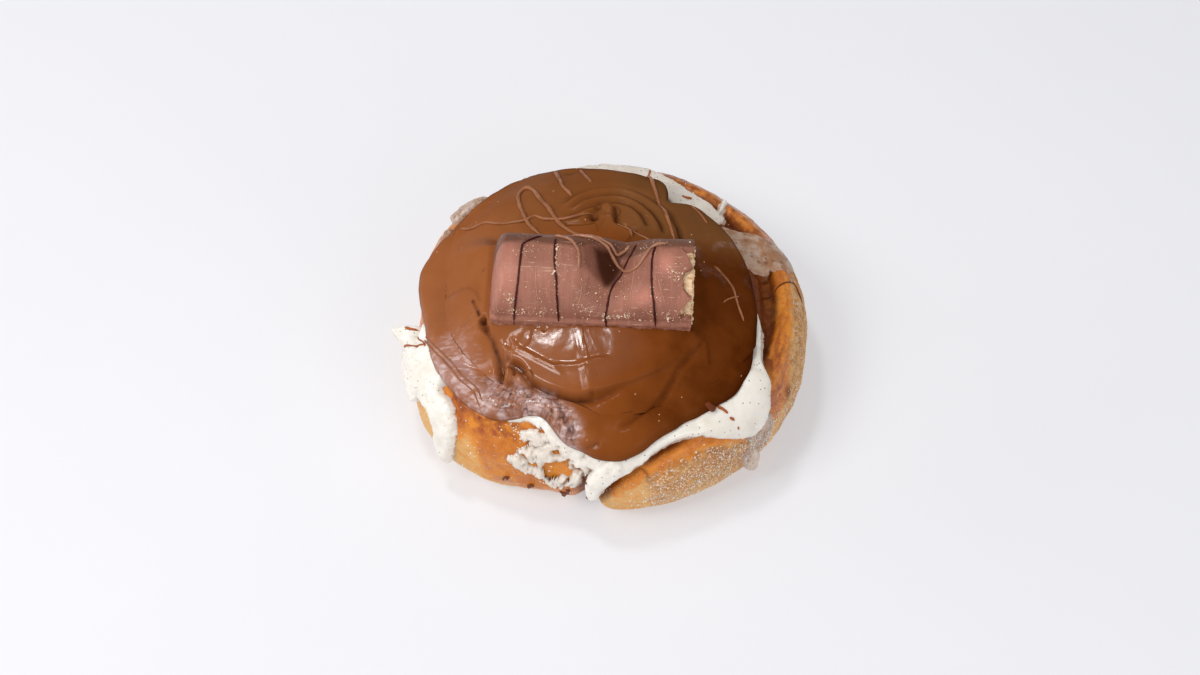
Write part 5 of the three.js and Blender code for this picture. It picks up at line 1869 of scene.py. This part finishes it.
@dataclass
class Roll:
    """The whole roll: builds each piece, dresses it and tells the frame about it."""

    library: EffectLibrary
    form: RollForm = RollForm()
    bar: BarForm = BarForm()

    def settle(self, piece: Piece, finish: Finish, stands_for: str | None = None) -> None:
        """Give a piece its finish and place in the frame.

        Args:
            piece: the object.
            finish: what it is painted with.
            stands_for: the solid that it replaces.
        """
        piece.data.materials.append(finish.build(self.library))
        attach(piece, "root")
        if stands_for:
            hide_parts(stands_for)
        log.info("%s: %d faces", piece.name, len(piece.data.polygons))

    def build(self) -> None:
        """Build every piece in order."""
        dough = Dough(self.form)
        icing = Icing(self.form, dough)
        chocolate = Chocolate(self.form, self.bar)
        surface = Surface(self.form, dough, icing, chocolate)
        self.settle(dough.build(surface.bare), CrustFinish(), "bun")
        self.settle(icing.build(chocolate.inward), IcingFinish(), "icing")
        self.settle(chocolate.build(), ChocolateFinish(), "chocolate")
        self.threads(surface)
        self.wafer_bar()
        self.grains(surface)

    def threads(self, surface: Surface) -> None:
        """Chocolate threads over the layers."""
        threads = Threads(surface)
        light = ThreadFinish("light_threads", tint(156, 98, 60), tint(108, 60, 30), 0.36, 0.3)
        dark = ThreadFinish("dark_threads", tint(116, 54, 20), tint(78, 32, 12), 0.4, 0.15)
        brown = ThreadFinish("cinnamon_streaks", tint(168, 92, 46), tint(130, 62, 28), 0.5, 0.2)
        for name, group, finish in (("threads_light", threads.light, light), ("threads_dark", threads.dark, dark),
                                    ("cinnamon_streaks", threads.brown, brown)):
            self.settle(new_mesh(name, *threads.mesh(group)), finish)

    def wafer_bar(self) -> None:
        """The bar piece with everything on it."""
        bar = WaferBar(self.bar)
        wafer = CrumbFinish("wafer", tint(236, 206, 168), tint(186, 140, 98), toned=True)
        self.settle(bar.coat(), CoatFinish(), "bar_coating")
        self.settle(bar.core(), wafer, "bar_wafer")
        dark = ThreadFinish("bar_lines", tint(70, 22, 20), tint(44, 12, 12), 0.34, 0.16)
        light = ThreadFinish("bar_strands", tint(164, 112, 84), tint(122, 74, 50), 0.3)
        pale = ThreadFinish("bar_scratches", tint(190, 138, 110), tint(160, 110, 86), 0.5)
        for paths, radius, sink, finish in (
                (bar.lines, 0.27, 0.12, dark), (bar.strands, 0.4, 0.08, light), (bar.scratches, 0.09, 0.05, pale)):
            self.settle(new_mesh(finish.name, *bar.strand_mesh(paths, radius, sink)), finish)
        rng = np.random.default_rng(bar.seed)
        heap = Lump().heap(*bar.crumb_places(rng), rng, 0.55, 0.3)
        crumbs = CrumbFinish("bar_crumbs", tint(238, 206, 180), tint(204, 160, 130))
        self.settle(new_mesh("bar_crumbs", *heap), crumbs)

    def grains(self, surface: Surface) -> None:
        """Sugar and crumbs."""
        grains = Grains(surface)
        for scatter, finish, slot in (
                (grains.sugar, CrumbFinish("sugar", tint(250, 244, 236), tint(232, 216, 196), 0.4, 0.3), "icing"),
                (grains.brown, CrumbFinish("brown_crumb", tint(120, 60, 26), tint(70, 30, 12), 0.5, 0.0), "dough"),
                (grains.icing_bits, CrumbFinish("icing_crumb", tint(246, 236, 224), tint(222, 200, 176)), "icing")):
            self.settle(new_mesh(scatter.name, *grains.scattered(scatter)), finish)


def main() -> None:
    """Build the studio and the roll."""
    logging.basicConfig(level=logging.INFO, format="%(message)s")
    library = EffectLibrary()
    Studio().build(library)
    Roll(library).build()
    bpy.context.view_layer.update()


if __name__ == "__main__":
    main()
